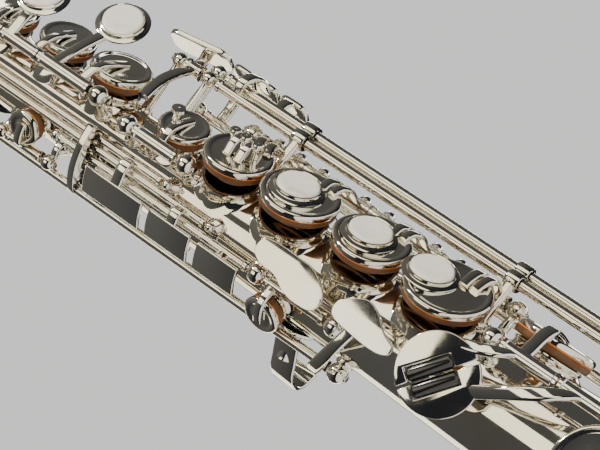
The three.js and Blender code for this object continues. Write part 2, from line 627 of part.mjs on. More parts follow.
// Left hand table: three touches at the top of long tubes that run down to the bell keys.
buildKey('low_b_key', LINES.lowB, [
  cup(HOLES.lowB, false), pivotRod(LINES.lowB, 125.2, 383.4, LONG_TUBE_RADIUS),
  cupArm(HOLES.lowB, LINES.lowB, 134, 5),
], { restTurn: openTurn(HOLES.lowB, LINES.lowB, OPENING.lowB), placed: [
  strap([polar(33, -50, 377), polar(38.5, -47.6, 376), polar(42.4, -56, 375),
    polar(42.8, -66, 374)], 4, 2),
  plate(roundedRectangle(13, 9, 3), 1.8, polar(42, -70, 374), -70),
] });
buildKey('low_b_flat_key', LINES.lowBFlat, [
  cup(HOLES.lowBFlat, false), pivotRod(LINES.lowBFlat, 85.8, 383.4, LONG_TUBE_RADIUS),
  cupArm(HOLES.lowBFlat, LINES.lowBFlat, 93, 5),
], { restTurn: openTurn(HOLES.lowBFlat, LINES.lowBFlat, OPENING.lowB), placed: [
  strap([polar(36.7, -55, 363), polar(41, -58, 363), polar(42.6, -67, 363)], 4, 2),
  plate(roundedRectangle(13, 11, 3), 1.8, polar(42, -70, 363), -70),
] });
buildKey('low_c_sharp_key', LINES.lowCSharp, [
  cup(HOLES.lowCSharp, false), pivotRod(LINES.lowCSharp, 162.4, 389.2, LONG_TUBE_RADIUS),
  cupArm(HOLES.lowCSharp, LINES.lowCSharp, 167, 4),
  strap([polar(29, -85, 384), polar(35, -80, 384), polar(41.6, -70, 384)], 4, 2),
  plate(roundedRectangle(13, 8.4, 3), 1.8, polar(42, -70, 384), -70),
]);

// Right hand little finger: one round touch split between E flat and low C, with two rollers.
const PINKY_CENTRE = polar(27.1, 48.5, 258.2);
const PINKY_FACE = 54;            // angle round the tube that the touch faces
const PINKY_RADIUS = 12.8;
const ROLLER_SLOPE = -40.5;
const ROLLER_WINDOW = { left: -9, right: 5.8, above: 4.9, below: -4.9 };
const ROLLER_SPREAD = { eFlat: 2.5, lowC: -2.5 };
const PINKY_TILT = 12;
const PINKY_SPLIT = 0.5;          // half of the gap that lets either key turn alone

/** Half of the round touch, above or below its split, with a window for its roller. */
function pinkyTouch(half) {
  const split = PINKY_SPLIT * half;
  const edge = half > 0 ? ROLLER_WINDOW.above : ROLLER_WINDOW.below;
  const start = Math.asin(split / PINKY_RADIUS);
  const outline = new THREE.Shape();
  outline.moveTo(ROLLER_WINDOW.left, split);
  outline.lineTo(-Math.cos(start) * PINKY_RADIUS, split);
  outline.absarc(0, 0, PINKY_RADIUS, Math.PI - start, start, half > 0);
  outline.lineTo(ROLLER_WINDOW.right, split);
  outline.lineTo(ROLLER_WINDOW.right, edge);
  outline.lineTo(ROLLER_WINDOW.left, edge);
  const geometry = new THREE.ExtrudeGeometry(outline, {
    depth: 1.8, bevelEnabled: false, curveSegments: 9,
  });
  geometry.rotateZ(radians(ROLLER_SLOPE)).translate(0, 0, -0.9);
  return solid(geometry.applyMatrix4(pinkyFrame()));
}

/** Frame of the round touch: across the tube, up it and out of its face. */
function pinkyFrame() {
  const out = outward(PINKY_FACE);
  const face = out.clone().multiplyScalar(Math.cos(radians(PINKY_TILT)))
    .addScaledVector(UP, -Math.sin(radians(PINKY_TILT)));
  const across = new THREE.Vector3().crossVectors(UP, face).normalize();
  const upward = new THREE.Vector3().crossVectors(face, across);
  return new THREE.Matrix4().makeBasis(across, upward, face).setPosition(PINKY_CENTRE);
}

/** Point in the round touch's frame, with its first axis along the rollers. */
const onPinky = (along, above, out) => new THREE.Vector3(along, above, out)
  .applyAxisAngle(UP, radians(ROLLER_SLOPE)).applyMatrix4(pinkyFrame());

/** Roller in the window of the round touch. */
function roller(offset) {
  const from = onPinky(ROLLER_WINDOW.left + GAP, offset, -0.5);
  const to = onPinky(ROLLER_WINDOW.right - GAP, offset, -0.5);
  return rodBetween(from, to, 1.9, 12);
}

const pinkyLine = LINES.pinky;
buildKey('e_flat_key', pinkyLine, [
  cup(HOLES.eFlat, false), pivotRod(pinkyLine, 228.8, 248.6, TUBE_RADIUS),
  cupArm(HOLES.eFlat, pinkyLine, 242, 4.4),
  strap([polar(27, 10, 244), polar(29.5, 17, 246), polar(29.8, 23, 251.5),
    onPinky(9.6, 6, -0.4)], 4, 2),
  pinkyTouch(1),
]);
addPart('e_flat_roller', roller(ROLLER_SPREAD.eFlat), ebonite());
buildKey('low_c_key', pinkyLine, [
  cup(HOLES.lowC, false), pivotRod(pinkyLine, 189.6, 228, TUBE_RADIUS),
  cupArm(HOLES.lowC, pinkyLine, 203, 5),
], { restTurn: openTurn(HOLES.lowC, pinkyLine, OPENING.lowC), placed: [
  strap([polar(27, 10, 221), polar(30, 17, 223), polar(30.6, 29, 232),
    onPinky(7, -7.5, -0.4)], 4.4, 2),
  pinkyTouch(-1),
] });
addPart('low_c_roller', roller(ROLLER_SPREAD.lowC), ebonite());

// Side plates under the right hand's first joints.
const TRILL_OUTLINE = [[0.3, 12.6], [4.6, 12], [5.8, 8], [5.7, -1], [5.2, -6.5], [1.5, -12.1],
  [-2, -14], [-5.6, -12.4], [-6.4, -7], [-5.6, -2], [-2.8, 3.4], [-2.3, 9]];
const HIGH_F_SHARP_OUTLINE = [[-2.4, 9.8], [1.4, 10.3], [4.8, 6.5], [6.8, 2.3], [5.6, -1.8],
  [1.6, -6.6], [-0.6, -11.4], [-3, -11.8], [-4.7, -8.8], [-4.4, 2]];
const trillLine = LINES.trill;
buildKey('f_sharp_trill_key', trillLine, [
  cup(HOLES.trill, false), pivotRod(trillLine, 300.6, 323.4, 1.7),
  strap([polar(19.6, 70, 320), polar(24, 82, 320), polar(24.6, 92, 320),
    polar(24.4, 100, 320)], 3, 1.6),
  strap([polar(19.6, 70, 312), polar(22.6, 64, 313), polar(24.3, 56, 314)], 4, 1.8),
  plate(smoothOutline(TRILL_OUTLINE, 22), 1.4, polar(24.6, 50, 315.5), 50, 4),
]);
const highLine = LINES.highFSharp;
buildKey('high_f_sharp_key', highLine, [
  cup(HOLES.highFSharp, false), pivotRod(highLine, 297, 565.4, 1.6),
  cupArm(HOLES.highFSharp, highLine, 561, 3),
  strap([polar(20.6, 125, 299.4), polar(24.6, 110, 298), polar(26.4, 84, 293),
    polar(25.6, 54, 288)], 4, 1.8),
  plate(smoothOutline(HIGH_F_SHARP_OUTLINE, 20), 1.4, polar(26, 49.4, 286), 50, 4),
]);

// Side keys: curved touches for the right palm, rods up the body and cups at their tops.
const TILE_PHI = [72, 98];
const SIDE_TOUCHES = {
  side_e_key: { line: LINES.sideE, bottom: 371, top: 394.6, rodTop: 539.8 },
  side_c_lever: { line: LINES.sideC, bottom: 351, top: 368, rodTop: 465.6 },
  side_b_flat_lever: { line: LINES.sideBFlat, bottom: 331.8, top: 348, rodTop: 409.8 },
};
for (const [name, { line, bottom, top, rodTop }] of Object.entries(SIDE_TOUCHES)) {
  const outline = new THREE.Shape();
  outline.absarc(0, 0, 23.2, radians(TILE_PHI[0]), radians(TILE_PHI[1]), false);
  outline.absarc(0, 0, 21.8, radians(TILE_PHI[1]), radians(TILE_PHI[0]), true);
  const shell = new THREE.ExtrudeGeometry(outline, {
    depth: top - bottom, bevelEnabled: false, curveSegments: 4,
  });
  shell.scale(1, -1, 1).rotateZ(radians(-90)).translate(0, 0, bottom);
  const armAt = (bottom + top) / 2;
  const pieces = [
    solid(shell), pivotRod(line, bottom - 0.4, rodTop, 1.3),
    strap([polar(line.rho, line.phi, armAt), polar(21.3, line.phi + 2, armAt),
      polar(22.4, 74, armAt)], 4, 1.4, UP, 4),
  ];
  if (name === 'side_e_key') {
    pieces.push(cup(HOLES.sideE, false), cupArm(HOLES.sideE, line, 536, 3));
  } else {
    pieces.push(strap([polar(18.3, line.phi, rodTop - 2), polar(21.4, line.phi + 5, rodTop - 2),
      polar(22.4, 84, rodTop - 2)], 2.6, 1.4, UP, 4));
  }
  buildKey(name, line, pieces);
}

const SIDE_CUPS = {
  side_b_flat_key: { hole: HOLES.sideBFlat, tube: [416.2, 430.8] },
  side_c_key: { hole: HOLES.sideC, tube: [470.8, 484.2] },
};
for (const [name, { hole, tube }] of Object.entries(SIDE_CUPS)) {
  buildKey(name, LINES.sideCups, [
    cup(hole, false), pivotRod(LINES.sideCups, ...tube, 1.6),
    cupArm(hole, LINES.sideCups, hole.z, 3),
  ]);
}

// Palm keys rock on short rods high on the left side.
const PALM_KEYS = {
  palm_d_key: { hole: HOLES.palmD, tube: [488.4, 506.6], touch: 493 },
  palm_e_flat_key: { hole: HOLES.palmEFlat, tube: [514.2, 525.2], touch: 517 },
  palm_f_key: { hole: HOLES.palmF, tube: [532.8, 552.2], touch: 538 },
};
for (const [name, { hole, tube, touch }] of Object.entries(PALM_KEYS)) {
  const line = LINES.palm;
  buildKey(name, line, [
    cup(hole, false), pivotRod(line, ...tube, 1.7),
    cupArm(hole, line, Math.min(hole.z, tube[1] - 2), 3),
    strap([polar(19, -80, touch), polar(22.4, -88, touch), polar(24.4, -102, touch)], 4, 1.8),
    plate(roundedRectangle(11, 17, 5), 2.2, polar(24, -108, touch), -112),
  ]);
}

// Octave mechanism on the back: a thumb lever and the two pip keys that it opens in turn.
const octaveLine = LINES.octave;
buildKey('octave_lever', octaveLine, [
  pivotRod(octaveLine, 466.2, 498, 1.7),
  strap([polar(17, -150, 478), polar(19, -160, 478), polar(19.6, -174, 478)], 6, 1.8),
  plate(roundedRectangle(12, 15, 5), 1.8, polar(19, -178, 478), 180),
  strap([polar(17, -150, 494), polar(20, -141, 494), polar(21, -134, 494)], 3, 1.6),
]);
const PIP_KEYS = {
  octave_key_lower: { pip: OCTAVE_PIPS.lower, tube: [505.4, 527.8] },
  octave_key_upper: { pip: OCTAVE_PIPS.upper, tube: [535.4, 574.4] },
};
for (const [name, { pip, tube }] of Object.entries(PIP_KEYS)) {
  const padSeat = tubeRadius(pip.z) + PIP_HEIGHT + GAP;
  buildKey(name, octaveLine, [
    disc(3, 0, 2.6, 10, polar(padSeat, pip.phi, pip.z), outward(pip.phi)),
    pivotRod(octaveLine, ...tube, 1.7),
    strap([polar(17, -150, pip.z), polar(17.6, -165, pip.z),
      polar(padSeat + 2.6, pip.phi, pip.z)], 3, 1.6),
  ]);
}

export default group;
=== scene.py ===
"""A straight soprano saxophone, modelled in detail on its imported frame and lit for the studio.

Lengths are millimetres while a piece is being made, and each finished piece is scaled to metres.
An angle round the tube is in degrees from the front (-Y) and grows towards the player's right.
"""

import logging
import math
from dataclasses import dataclass, field
from enum import Enum

import bpy
from mathutils import Matrix, Vector


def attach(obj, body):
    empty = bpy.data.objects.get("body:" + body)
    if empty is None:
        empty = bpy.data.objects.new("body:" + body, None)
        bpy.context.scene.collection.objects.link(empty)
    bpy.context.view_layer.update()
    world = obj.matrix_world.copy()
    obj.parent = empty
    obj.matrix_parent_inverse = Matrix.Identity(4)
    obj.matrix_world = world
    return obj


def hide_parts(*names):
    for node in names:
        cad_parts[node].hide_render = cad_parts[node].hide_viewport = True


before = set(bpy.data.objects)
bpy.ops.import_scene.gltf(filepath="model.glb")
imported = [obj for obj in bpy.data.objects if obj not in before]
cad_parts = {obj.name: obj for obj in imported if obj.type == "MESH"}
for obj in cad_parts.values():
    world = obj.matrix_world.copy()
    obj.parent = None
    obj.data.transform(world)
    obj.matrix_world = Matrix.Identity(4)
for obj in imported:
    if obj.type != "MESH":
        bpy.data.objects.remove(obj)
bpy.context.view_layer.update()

log = logging.getLogger("saxophone")

MILLIMETRE = 0.001
UP = Vector((0.0, 0.0, 1.0))

# ------------------------------------------------------------------ the instrument's own sizes

CONE_SLOPE = 0.0305
NECK_END = 650.0
NECK_END_RADIUS = 5.3
BELL_JOINT = 74.0
BODY_TOP = 592.0
BELL_RADIUS = 47.5
WALL = 0.8
RIM_HEIGHT = 2.8
GAP = 0.3
CUP_TOP = 5.4
PEARL_RADIUS = 6.7
ROD_RADIUS = 1.2
TUBE_BORE = 1.6
STACK_TUBE_RADIUS = 2.3
SHORT_TUBE_RADIUS = 1.7
CUP_TUBE_RADIUS = 1.6
SIDE_ROD_RADIUS = 1.3
POST_BALL = 3.4
SMALL_POST_BALL = 2.6
SLIM_POST_BALL = 1.7
PIP_ANGLE = 178.0
PIP_REACH = 4.0
PIP_HEIGHTS = (514.0, 570.0)
LEFT_TOUCH_REACH = 42.0
LEFT_TOUCH_ANGLE = -70.0


@dataclass(frozen=True)
class HingeLine:
    """A line parallel to the tube's axis that keys turn on."""

    phi: float
    rho: float


class Line(Enum):
    """Every hinge line on the body."""

    LOWER_STACK = HingeLine(-60, 26.5)
    UPPER_STACK = HingeLine(21, 23)
    G_SHARP = HingeLine(27, 22.5)
    LOW_B = HingeLine(-50, 32.9)
    LOW_B_FLAT = HingeLine(-55, 36.7)
    LOW_C_SHARP = HingeLine(-85, 29)
    LITTLE_FINGER = HingeLine(10, 27)
    TRILL = HingeLine(70, 19)
    HIGH_F_SHARP = HingeLine(125, 20)
    SIDE_E = HingeLine(50, 18.3)
    SIDE_C = HingeLine(60, 18.3)
    SIDE_B_FLAT = HingeLine(72, 18.3)
    SIDE_CUPS = HingeLine(109, 19.5)
    PALM = HingeLine(-80, 19)
    OCTAVE = HingeLine(-150, 17)


SLIM_LINES = (Line.SIDE_E, Line.SIDE_C, Line.SIDE_B_FLAT)
SMALL_LINES = (Line.SIDE_CUPS, Line.LOW_B, Line.LOW_B_FLAT)


def post_ball(line: Line) -> float:
    """Radius of the ball heads of the posts on a hinge line."""
    ball = SMALL_POST_BALL if line in SMALL_LINES else POST_BALL
    return SLIM_POST_BALL if line in SLIM_LINES else ball


@dataclass(frozen=True)
class ToneHole:
    """A tone hole and the cup that closes it."""

    z: float
    phi: float
    hole: float
    cup: float


HOLES = {
    "low_b_flat": ToneHole(93, -90, 14, 17.4),
    "low_b": ToneHole(134, -88, 13, 16.4),
    "low_c_sharp": ToneHole(167, -126, 10.5, 13.2),
    "low_c": ToneHole(203, 47, 11.8, 14.8),
    "e_flat": ToneHole(242.4, -44.4, 10.4, 13.2),
    "d": ToneHole(273.5, 0, 10.8, 13.8),
    "e": ToneHole(302, 0, 9.6, 12.3),
    "f": ToneHole(329.7, 0, 9.9, 12.75),
    "f_sharp": ToneHole(354.4, 0, 8.5, 11.1),
    "trill": ToneHole(320, 97, 4.2, 6.4),
    "g_sharp": ToneHole(377, -6, 6.2, 8.5),
    "g": ToneHole(409, -22, 7.6, 10.2),
    "a": ToneHole(431, -18, 6.8, 9.4),
    "bis": ToneHole(452.5, -10, 6, 8.5),
    "b": ToneHole(473, -8, 5.2, 7.6),
    "c_vent": ToneHole(490.5, -4, 3.6, 5.9),
    "side_b_flat": ToneHole(424, 85, 3.8, 5.9),
    "side_c": ToneHole(478, 83, 3.6, 5.6),
    "palm_d": ToneHole(507, -42, 3.8, 5.8),
    "palm_e_flat": ToneHole(521.5, -42, 3.6, 5.6),
    "side_e": ToneHole(536, 12, 3.6, 5.6),
    "palm_f": ToneHole(548, -42, 3.4, 5.4),
    "high_f_sharp": ToneHole(561, 160, 3.2, 5),
}

# Degrees that keys which stand open at rest are turned from closed.
STANDING_OPEN = {"lower": 8.0, "upper": -9.0, "low_b": -9.0, "low_c": 8.0}


def outward(phi: float) -> Vector:
    """Outward direction at an angle round the tube."""
    angle = math.radians(phi)
    return Vector((-math.sin(angle), -math.cos(angle), 0.0))


def polar(rho: float, phi: float, z: float) -> Vector:
    """Point at a distance from the tube's axis, an angle round it and a height."""
    return outward(phi) * rho + UP * z


def tube_radius(z: float) -> float:
    """Outer radius of the conical tube at a height."""
    return NECK_END_RADIUS + (NECK_END - z) * CONE_SLOPE


def rim_plane(hole: ToneHole) -> float:
    """Distance of a tone hole's rim from the tube's axis."""
    return tube_radius(hole.z) + RIM_HEIGHT


def swing(line: HingeLine, degrees: float) -> Matrix:
    """Turn about a hinge line, counter-clockwise from above."""
    hinge = Matrix.Translation(polar(line.rho, line.phi, 0))
    return hinge @ Matrix.Rotation(math.radians(degrees), 4, "Z") @ hinge.inverted()


def facing(base: Vector, direction: Vector) -> Matrix:
    """Places a piece made round +Z so that +Z points along a direction from a base point."""
    return Matrix.Translation(base) @ direction.to_track_quat("Z", "Y").to_matrix().to_4x4()


# ------------------------------------------------------------------ finishes


@dataclass(frozen=True)
class MetalFinish:
    """A polished metal, with the tint of its plating and how worn its polish is."""

    name: str
    slot: str
    colour: tuple[float, float, float]
    tarnish: tuple[float, float, float]
    roughness: float
    wear: float


SILVER = MetalFinish(
    "bright_silver_plate", "polished_silver", (0.95, 0.93, 0.87), (0.88, 0.83, 0.70), 0.045, 0.05,
)
KEY_SILVER = MetalFinish(
    "key_silver_plate", "polished_silver", (0.96, 0.94, 0.89), (0.90, 0.86, 0.76), 0.06, 0.07,
)
STEEL = MetalFinish("pivot_steel", "steel", (0.62, 0.61, 0.60), (0.50, 0.49, 0.47), 0.16, 0.12)
BLUED_STEEL = MetalFinish(
    "blued_spring_steel", "steel", (0.10, 0.13, 0.22), (0.05, 0.06, 0.10), 0.22, 0.1,
)


def metal_material(finish: MetalFinish) -> bpy.types.Material:
    """Plated metal whose tint and polish drift slowly, with hair-fine polishing marks.

    Args:
        finish: The tint, tarnish and polish of this metal.

    Returns:
        The material.
    """
    material = bpy.data.materials.new(finish.name)
    material.use_nodes = True
    nodes = material.node_tree.nodes
    links = material.node_tree.links
    nodes.clear()
    output = nodes.new("ShaderNodeOutputMaterial")
    output.label = "Metal surface"
    output.location = (900, 0)
    surface = nodes.new("ShaderNodeBsdfPrincipled")
    surface.label = "Plated metal"
    surface.location = (600, 0)
    surface.inputs["Metallic"].default_value = 1.0
    place = nodes.new("ShaderNodeTexCoord")
    place.label = "Place on the instrument"
    place.location = (-900, 0)
    tint_frame = nodes.new("NodeFrame")
    tint_frame.label = "Tarnish in the tint"
    drift = nodes.new("ShaderNodeTexNoise")
    drift.label = "Slow drift of tarnish"
    drift.location = (-600, 250)
    drift.parent = tint_frame
    drift.inputs["Scale"].default_value = 28.0
    drift.inputs["Detail"].default_value = 3.0
    tint = nodes.new("ShaderNodeValToRGB")
    tint.label = "Plate to tarnish"
    tint.location = (-300, 250)
    tint.parent = tint_frame
    tint.color_ramp.elements[0].position = 0.38
    tint.color_ramp.elements[0].color = (*finish.tarnish, 1.0)
    tint.color_ramp.elements[1].position = 0.62
    tint.color_ramp.elements[1].color = (*finish.colour, 1.0)
    polish_frame = nodes.new("NodeFrame")
    polish_frame.label = "Handling in the polish"
    smears = nodes.new("ShaderNodeTexNoise")
    smears.label = "Finger smears"
    smears.location = (-600, -100)
    smears.parent = polish_frame
    smears.inputs["Scale"].default_value = 160.0
    smears.inputs["Detail"].default_value = 4.0
    smears.inputs["Roughness"].default_value = 0.65
    polish = nodes.new("ShaderNodeMapRange")
    polish.label = "Polish to smear"
    polish.location = (-300, -100)
    polish.parent = polish_frame
    polish.inputs["From Min"].default_value = 0.42
    polish.inputs["From Max"].default_value = 0.75
    polish.inputs["To Min"].default_value = finish.roughness
    polish.inputs["To Max"].default_value = finish.roughness + finish.wear
    mark_frame = nodes.new("NodeFrame")
    mark_frame.label = "Buffing marks"
    stretch = nodes.new("ShaderNodeMapping")
    stretch.label = "Marks run up the tube"
    stretch.location = (-600, -450)
    stretch.parent = mark_frame
    stretch.inputs["Scale"].default_value = (1.0, 1.0, 0.08)
    marks = nodes.new("ShaderNodeTexNoise")
    marks.label = "Hair lines"
    marks.location = (-300, -450)
    marks.parent = mark_frame
    marks.inputs["Scale"].default_value = 1800.0
    marks.inputs["Detail"].default_value = 2.0
    relief = nodes.new("ShaderNodeBump")
    relief.label = "Depth of the hair lines"
    relief.location = (0, -450)
    relief.parent = mark_frame
    relief.inputs["Strength"].default_value = 0.04
    relief.inputs["Distance"].default_value = 0.00002
    links.new(place.outputs["Object"], drift.inputs["Vector"])
    links.new(drift.outputs["Fac"], tint.inputs["Fac"])
    links.new(tint.outputs["Color"], surface.inputs["Base Color"])
    links.new(place.outputs["Object"], smears.inputs["Vector"])
    links.new(smears.outputs["Fac"], polish.inputs["Value"])
    links.new(polish.outputs["Result"], surface.inputs["Roughness"])
    links.new(place.outputs["Object"], stretch.inputs["Vector"])
    links.new(stretch.outputs["Vector"], marks.inputs["Vector"])
    links.new(marks.outputs["Fac"], relief.inputs["Height"])
    links.new(relief.outputs["Normal"], surface.inputs["Normal"])
    links.new(surface.outputs["BSDF"], output.inputs["Surface"])
    return material


@dataclass(frozen=True)
class GrainFinish:
    """A soft or organic material, whose colour wanders between two tones over a fine relief."""

    name: str
    slot: str
    light: tuple[float, float, float]
    dark: tuple[float, float, float]
    roughness: float
    grain_scale: float
    stretch: tuple[float, float, float]
    relief: float
    coat: float = 0.0


LEATHER = GrainFinish(
    "pad_leather", "leather", (0.17, 0.068, 0.020), (0.10, 0.040, 0.012), 0.5, 420.0, (1, 1, 1),
    0.35, 0.15,
)
CORK = GrainFinish(
    "tenon_cork", "cork", (0.62, 0.42, 0.24), (0.30, 0.17, 0.08), 0.85, 900.0, (1, 1, 1), 0.8,
)
CANE = GrainFinish(
    "reed_cane", "cane", (0.80, 0.66, 0.36), (0.62, 0.46, 0.20), 0.6, 700.0, (1, 1, 0.04), 0.4,
)
EBONITE = GrainFinish(
    "black_ebonite", "ebonite", (0.012, 0.012, 0.013), (0.006, 0.006, 0.006), 0.16, 300.0,
    (1, 1, 0.3), 0.05, 0.6,
)
# Pad leather painted bright orange: a painted highlight standing in for the lit side band of the
# pad, not a dye.
PAD_EDGE_PAINTED_LIT = GrainFinish(
    "pad_edge_painted_light", "leather", (0.95, 0.30, 0.03), (0.75, 0.20, 0.02), 0.4, 420.0, (1, 1, 1),
    0.2,
)
RESONATOR = GrainFinish(
    "pad_resonator", "leather", (0.24, 0.10, 0.03), (0.18, 0.072, 0.022), 0.7, 200.0, (1, 1, 1),
    0.1,
)
RED_FELT = GrainFinish(
    "red_felt", "leather", (0.42, 0.02, 0.03), (0.22, 0.01, 0.015), 0.95, 2600.0, (1, 1, 1), 0.9,
)
BLACK_FELT = GrainFinish(
    "black_felt", "ebonite", (0.03, 0.03, 0.032), (0.012, 0.012, 0.013), 0.95, 2600.0, (1, 1, 1),
    0.9,
)


def grain_material(finish: GrainFinish) -> bpy.types.Material:
    """Material with mottled colour and a pored or fibrous relief.

    Args:
        finish: Its two tones, gloss, and the size, stretch and depth of its grain.

    Returns:
        The material.
    """
    material = bpy.data.materials.new(finish.name)
    material.use_nodes = True
    nodes = material.node_tree.nodes
    links = material.node_tree.links
    nodes.clear()
    output = nodes.new("ShaderNodeOutputMaterial")
    output.label = "Finished surface"
    output.location = (900, 0)
    surface = nodes.new("ShaderNodeBsdfPrincipled")
    surface.label = "Body of the material"
    surface.location = (600, 0)
    surface.inputs["Coat Weight"].default_value = finish.coat
    surface.inputs["Coat Roughness"].default_value = 0.12
    place = nodes.new("ShaderNodeTexCoord")
    place.label = "Place on the instrument"
    place.location = (-900, 0)
    stretch = nodes.new("ShaderNodeMapping")
    stretch.label = "Direction of the grain"
    stretch.location = (-700, 0)
    stretch.inputs["Scale"].default_value = finish.stretch
    colour_frame = nodes.new("NodeFrame")
    colour_frame.label = "Mottled colour"
    mottle = nodes.new("ShaderNodeTexNoise")
    mottle.label = "Mottle"
    mottle.location = (-450, 250)
    mottle.parent = colour_frame
    mottle.inputs["Scale"].default_value = finish.grain_scale * 0.4
    mottle.inputs["Detail"].default_value = 6.0
    mottle.inputs["Roughness"].default_value = 0.6
    tone = nodes.new("ShaderNodeValToRGB")
    tone.label = "Dark to light tone"
    tone.location = (-150, 250)
    tone.parent = colour_frame
    tone.color_ramp.elements[0].position = 0.36
    tone.color_ramp.elements[0].color = (*finish.dark, 1.0)
    tone.color_ramp.elements[1].position = 0.64
    tone.color_ramp.elements[1].color = (*finish.light, 1.0)
    relief_frame = nodes.new("NodeFrame")
    relief_frame.label = "Pores and fibres"
    pores = nodes.new("ShaderNodeTexVoronoi")
    pores.label = "Pores"
    pores.location = (-450, -250)
    pores.parent = relief_frame
    pores.inputs["Scale"].default_value = finish.grain_scale * 2.0
    relief = nodes.new("ShaderNodeBump")
    relief.label = "Depth of the pores"
    relief.location = (-150, -250)
    relief.parent = relief_frame
    relief.inputs["Strength"].default_value = finish.relief
    relief.inputs["Distance"].default_value = 0.0001
    gloss = nodes.new("ShaderNodeMapRange")
    gloss.label = "Gloss follows the mottle"
    gloss.location = (-150, 0)
    gloss.inputs["To Min"].default_value = min(1.0, finish.roughness + 0.08)
    gloss.inputs["To Max"].default_value = max(0.02, finish.roughness - 0.05)
    links.new(place.outputs["Object"], stretch.inputs["Vector"])
    links.new(stretch.outputs["Vector"], mottle.inputs["Vector"])
    links.new(stretch.outputs["Vector"], pores.inputs["Vector"])
    links.new(mottle.outputs["Fac"], tone.inputs["Fac"])
    links.new(tone.outputs["Color"], surface.inputs["Base Color"])
    links.new(mottle.outputs["Fac"], gloss.inputs["Value"])
    links.new(gloss.outputs["Result"], surface.inputs["Roughness"])
    links.new(pores.outputs["Distance"], relief.inputs["Height"])
    links.new(relief.outputs["Normal"], surface.inputs["Normal"])
    links.new(surface.outputs["BSDF"], output.inputs["Surface"])
    return material


@dataclass(frozen=True)
class PearlFinish:
    """Polished mother-of-pearl with cloudy bands."""

    name: str = "mother_of_pearl"
    slot: str = "pearl"
    white: tuple[float, float, float] = (0.93, 0.89, 0.83)
    rose: tuple[float, float, float] = (0.90, 0.83, 0.76)
    tan: tuple[float, float, float] = (0.80, 0.66, 0.50)


PEARL = PearlFinish()


def pearl_material(finish: PearlFinish) -> bpy.types.Material:
    """Milky shell with soft layered bands under a clear polish.

    Args:
        finish: The tones of the shell's layers.

    Returns:
        The material.
    """
    material = bpy.data.materials.new(finish.name)
    material.use_nodes = True
    nodes = material.node_tree.nodes
    links = material.node_tree.links
    nodes.clear()
    output = nodes.new("ShaderNodeOutputMaterial")
    output.label = "Shell surface"
    output.location = (900, 0)
    surface = nodes.new("ShaderNodeBsdfPrincipled")
    surface.label = "Shell"
    surface.location = (600, 0)
    surface.inputs["Roughness"].default_value = 0.22
    surface.inputs["Coat Weight"].default_value = 0.8
    surface.inputs["Coat Roughness"].default_value = 0.05
    surface.inputs["Subsurface Weight"].default_value = 0.25
    surface.inputs["Subsurface Radius"].default_value = (0.0015, 0.001, 0.0008)
    surface.inputs["Subsurface Scale"].default_value = 1.0
    place = nodes.new("ShaderNodeTexCoord")
    place.label = "Place on the instrument"
    place.location = (-900, 0)
    layer_frame = nodes.new("NodeFrame")
    layer_frame.label = "Layers of the shell"
    clouds = nodes.new("ShaderNodeTexNoise")
    clouds.label = "Cloudy layers"
    clouds.location = (-600, 100)
    clouds.parent = layer_frame
    clouds.inputs["Scale"].default_value = 70.0
    clouds.inputs["Detail"].default_value = 3.0
    clouds.inputs["Distortion"].default_value = 1.6
    bands = nodes.new("ShaderNodeValToRGB")
    bands.label = "White, rose and tan layers"
    bands.location = (-300, 100)
    bands.parent = layer_frame
    bands.color_ramp.elements[0].position = 0.30
    bands.color_ramp.elements[0].color = (*finish.tan, 1.0)
    bands.color_ramp.elements[1].position = 0.52
    bands.color_ramp.elements[1].color = (*finish.white, 1.0)
    rose = bands.color_ramp.elements.new(0.42)
    rose.color = (*finish.rose, 1.0)
    links.new(place.outputs["Object"], clouds.inputs["Vector"])
    links.new(clouds.outputs["Fac"], bands.inputs["Fac"])
    links.new(bands.outputs["Color"], surface.inputs["Base Color"])
    links.new(surface.outputs["BSDF"], output.inputs["Surface"])
    return material


@dataclass
class PaintShop:
    """Keeps one material of each finish and gives it to pieces."""

    made: dict[str, bpy.types.Material] = field(default_factory=dict)

    def material(self, finish: MetalFinish | GrainFinish | PearlFinish) -> bpy.types.Material:
        """The material of a finish, made the first time that it is asked for.

        Args:
            finish: The finish asked for.

        Returns:
            The material.
        """
        if finish.name not in self.made:
            if isinstance(finish, MetalFinish):
                self.made[finish.name] = metal_material(finish)
            elif isinstance(finish, GrainFinish):
                self.made[finish.name] = grain_material(finish)
            else:
                self.made[finish.name] = pearl_material(finish)
        return self.made[finish.name]

    def dress(
        self, piece: bpy.types.Object, finish: MetalFinish | GrainFinish | PearlFinish,
    ) -> None:
        """Gives a piece its finish.

        Args:
            piece: The piece to dress.
            finish: Its finish.
        """
        piece.data.materials.clear()
        piece.data.materials.append(self.material(finish))


# ------------------------------------------------------------------ the bench: how pieces are made


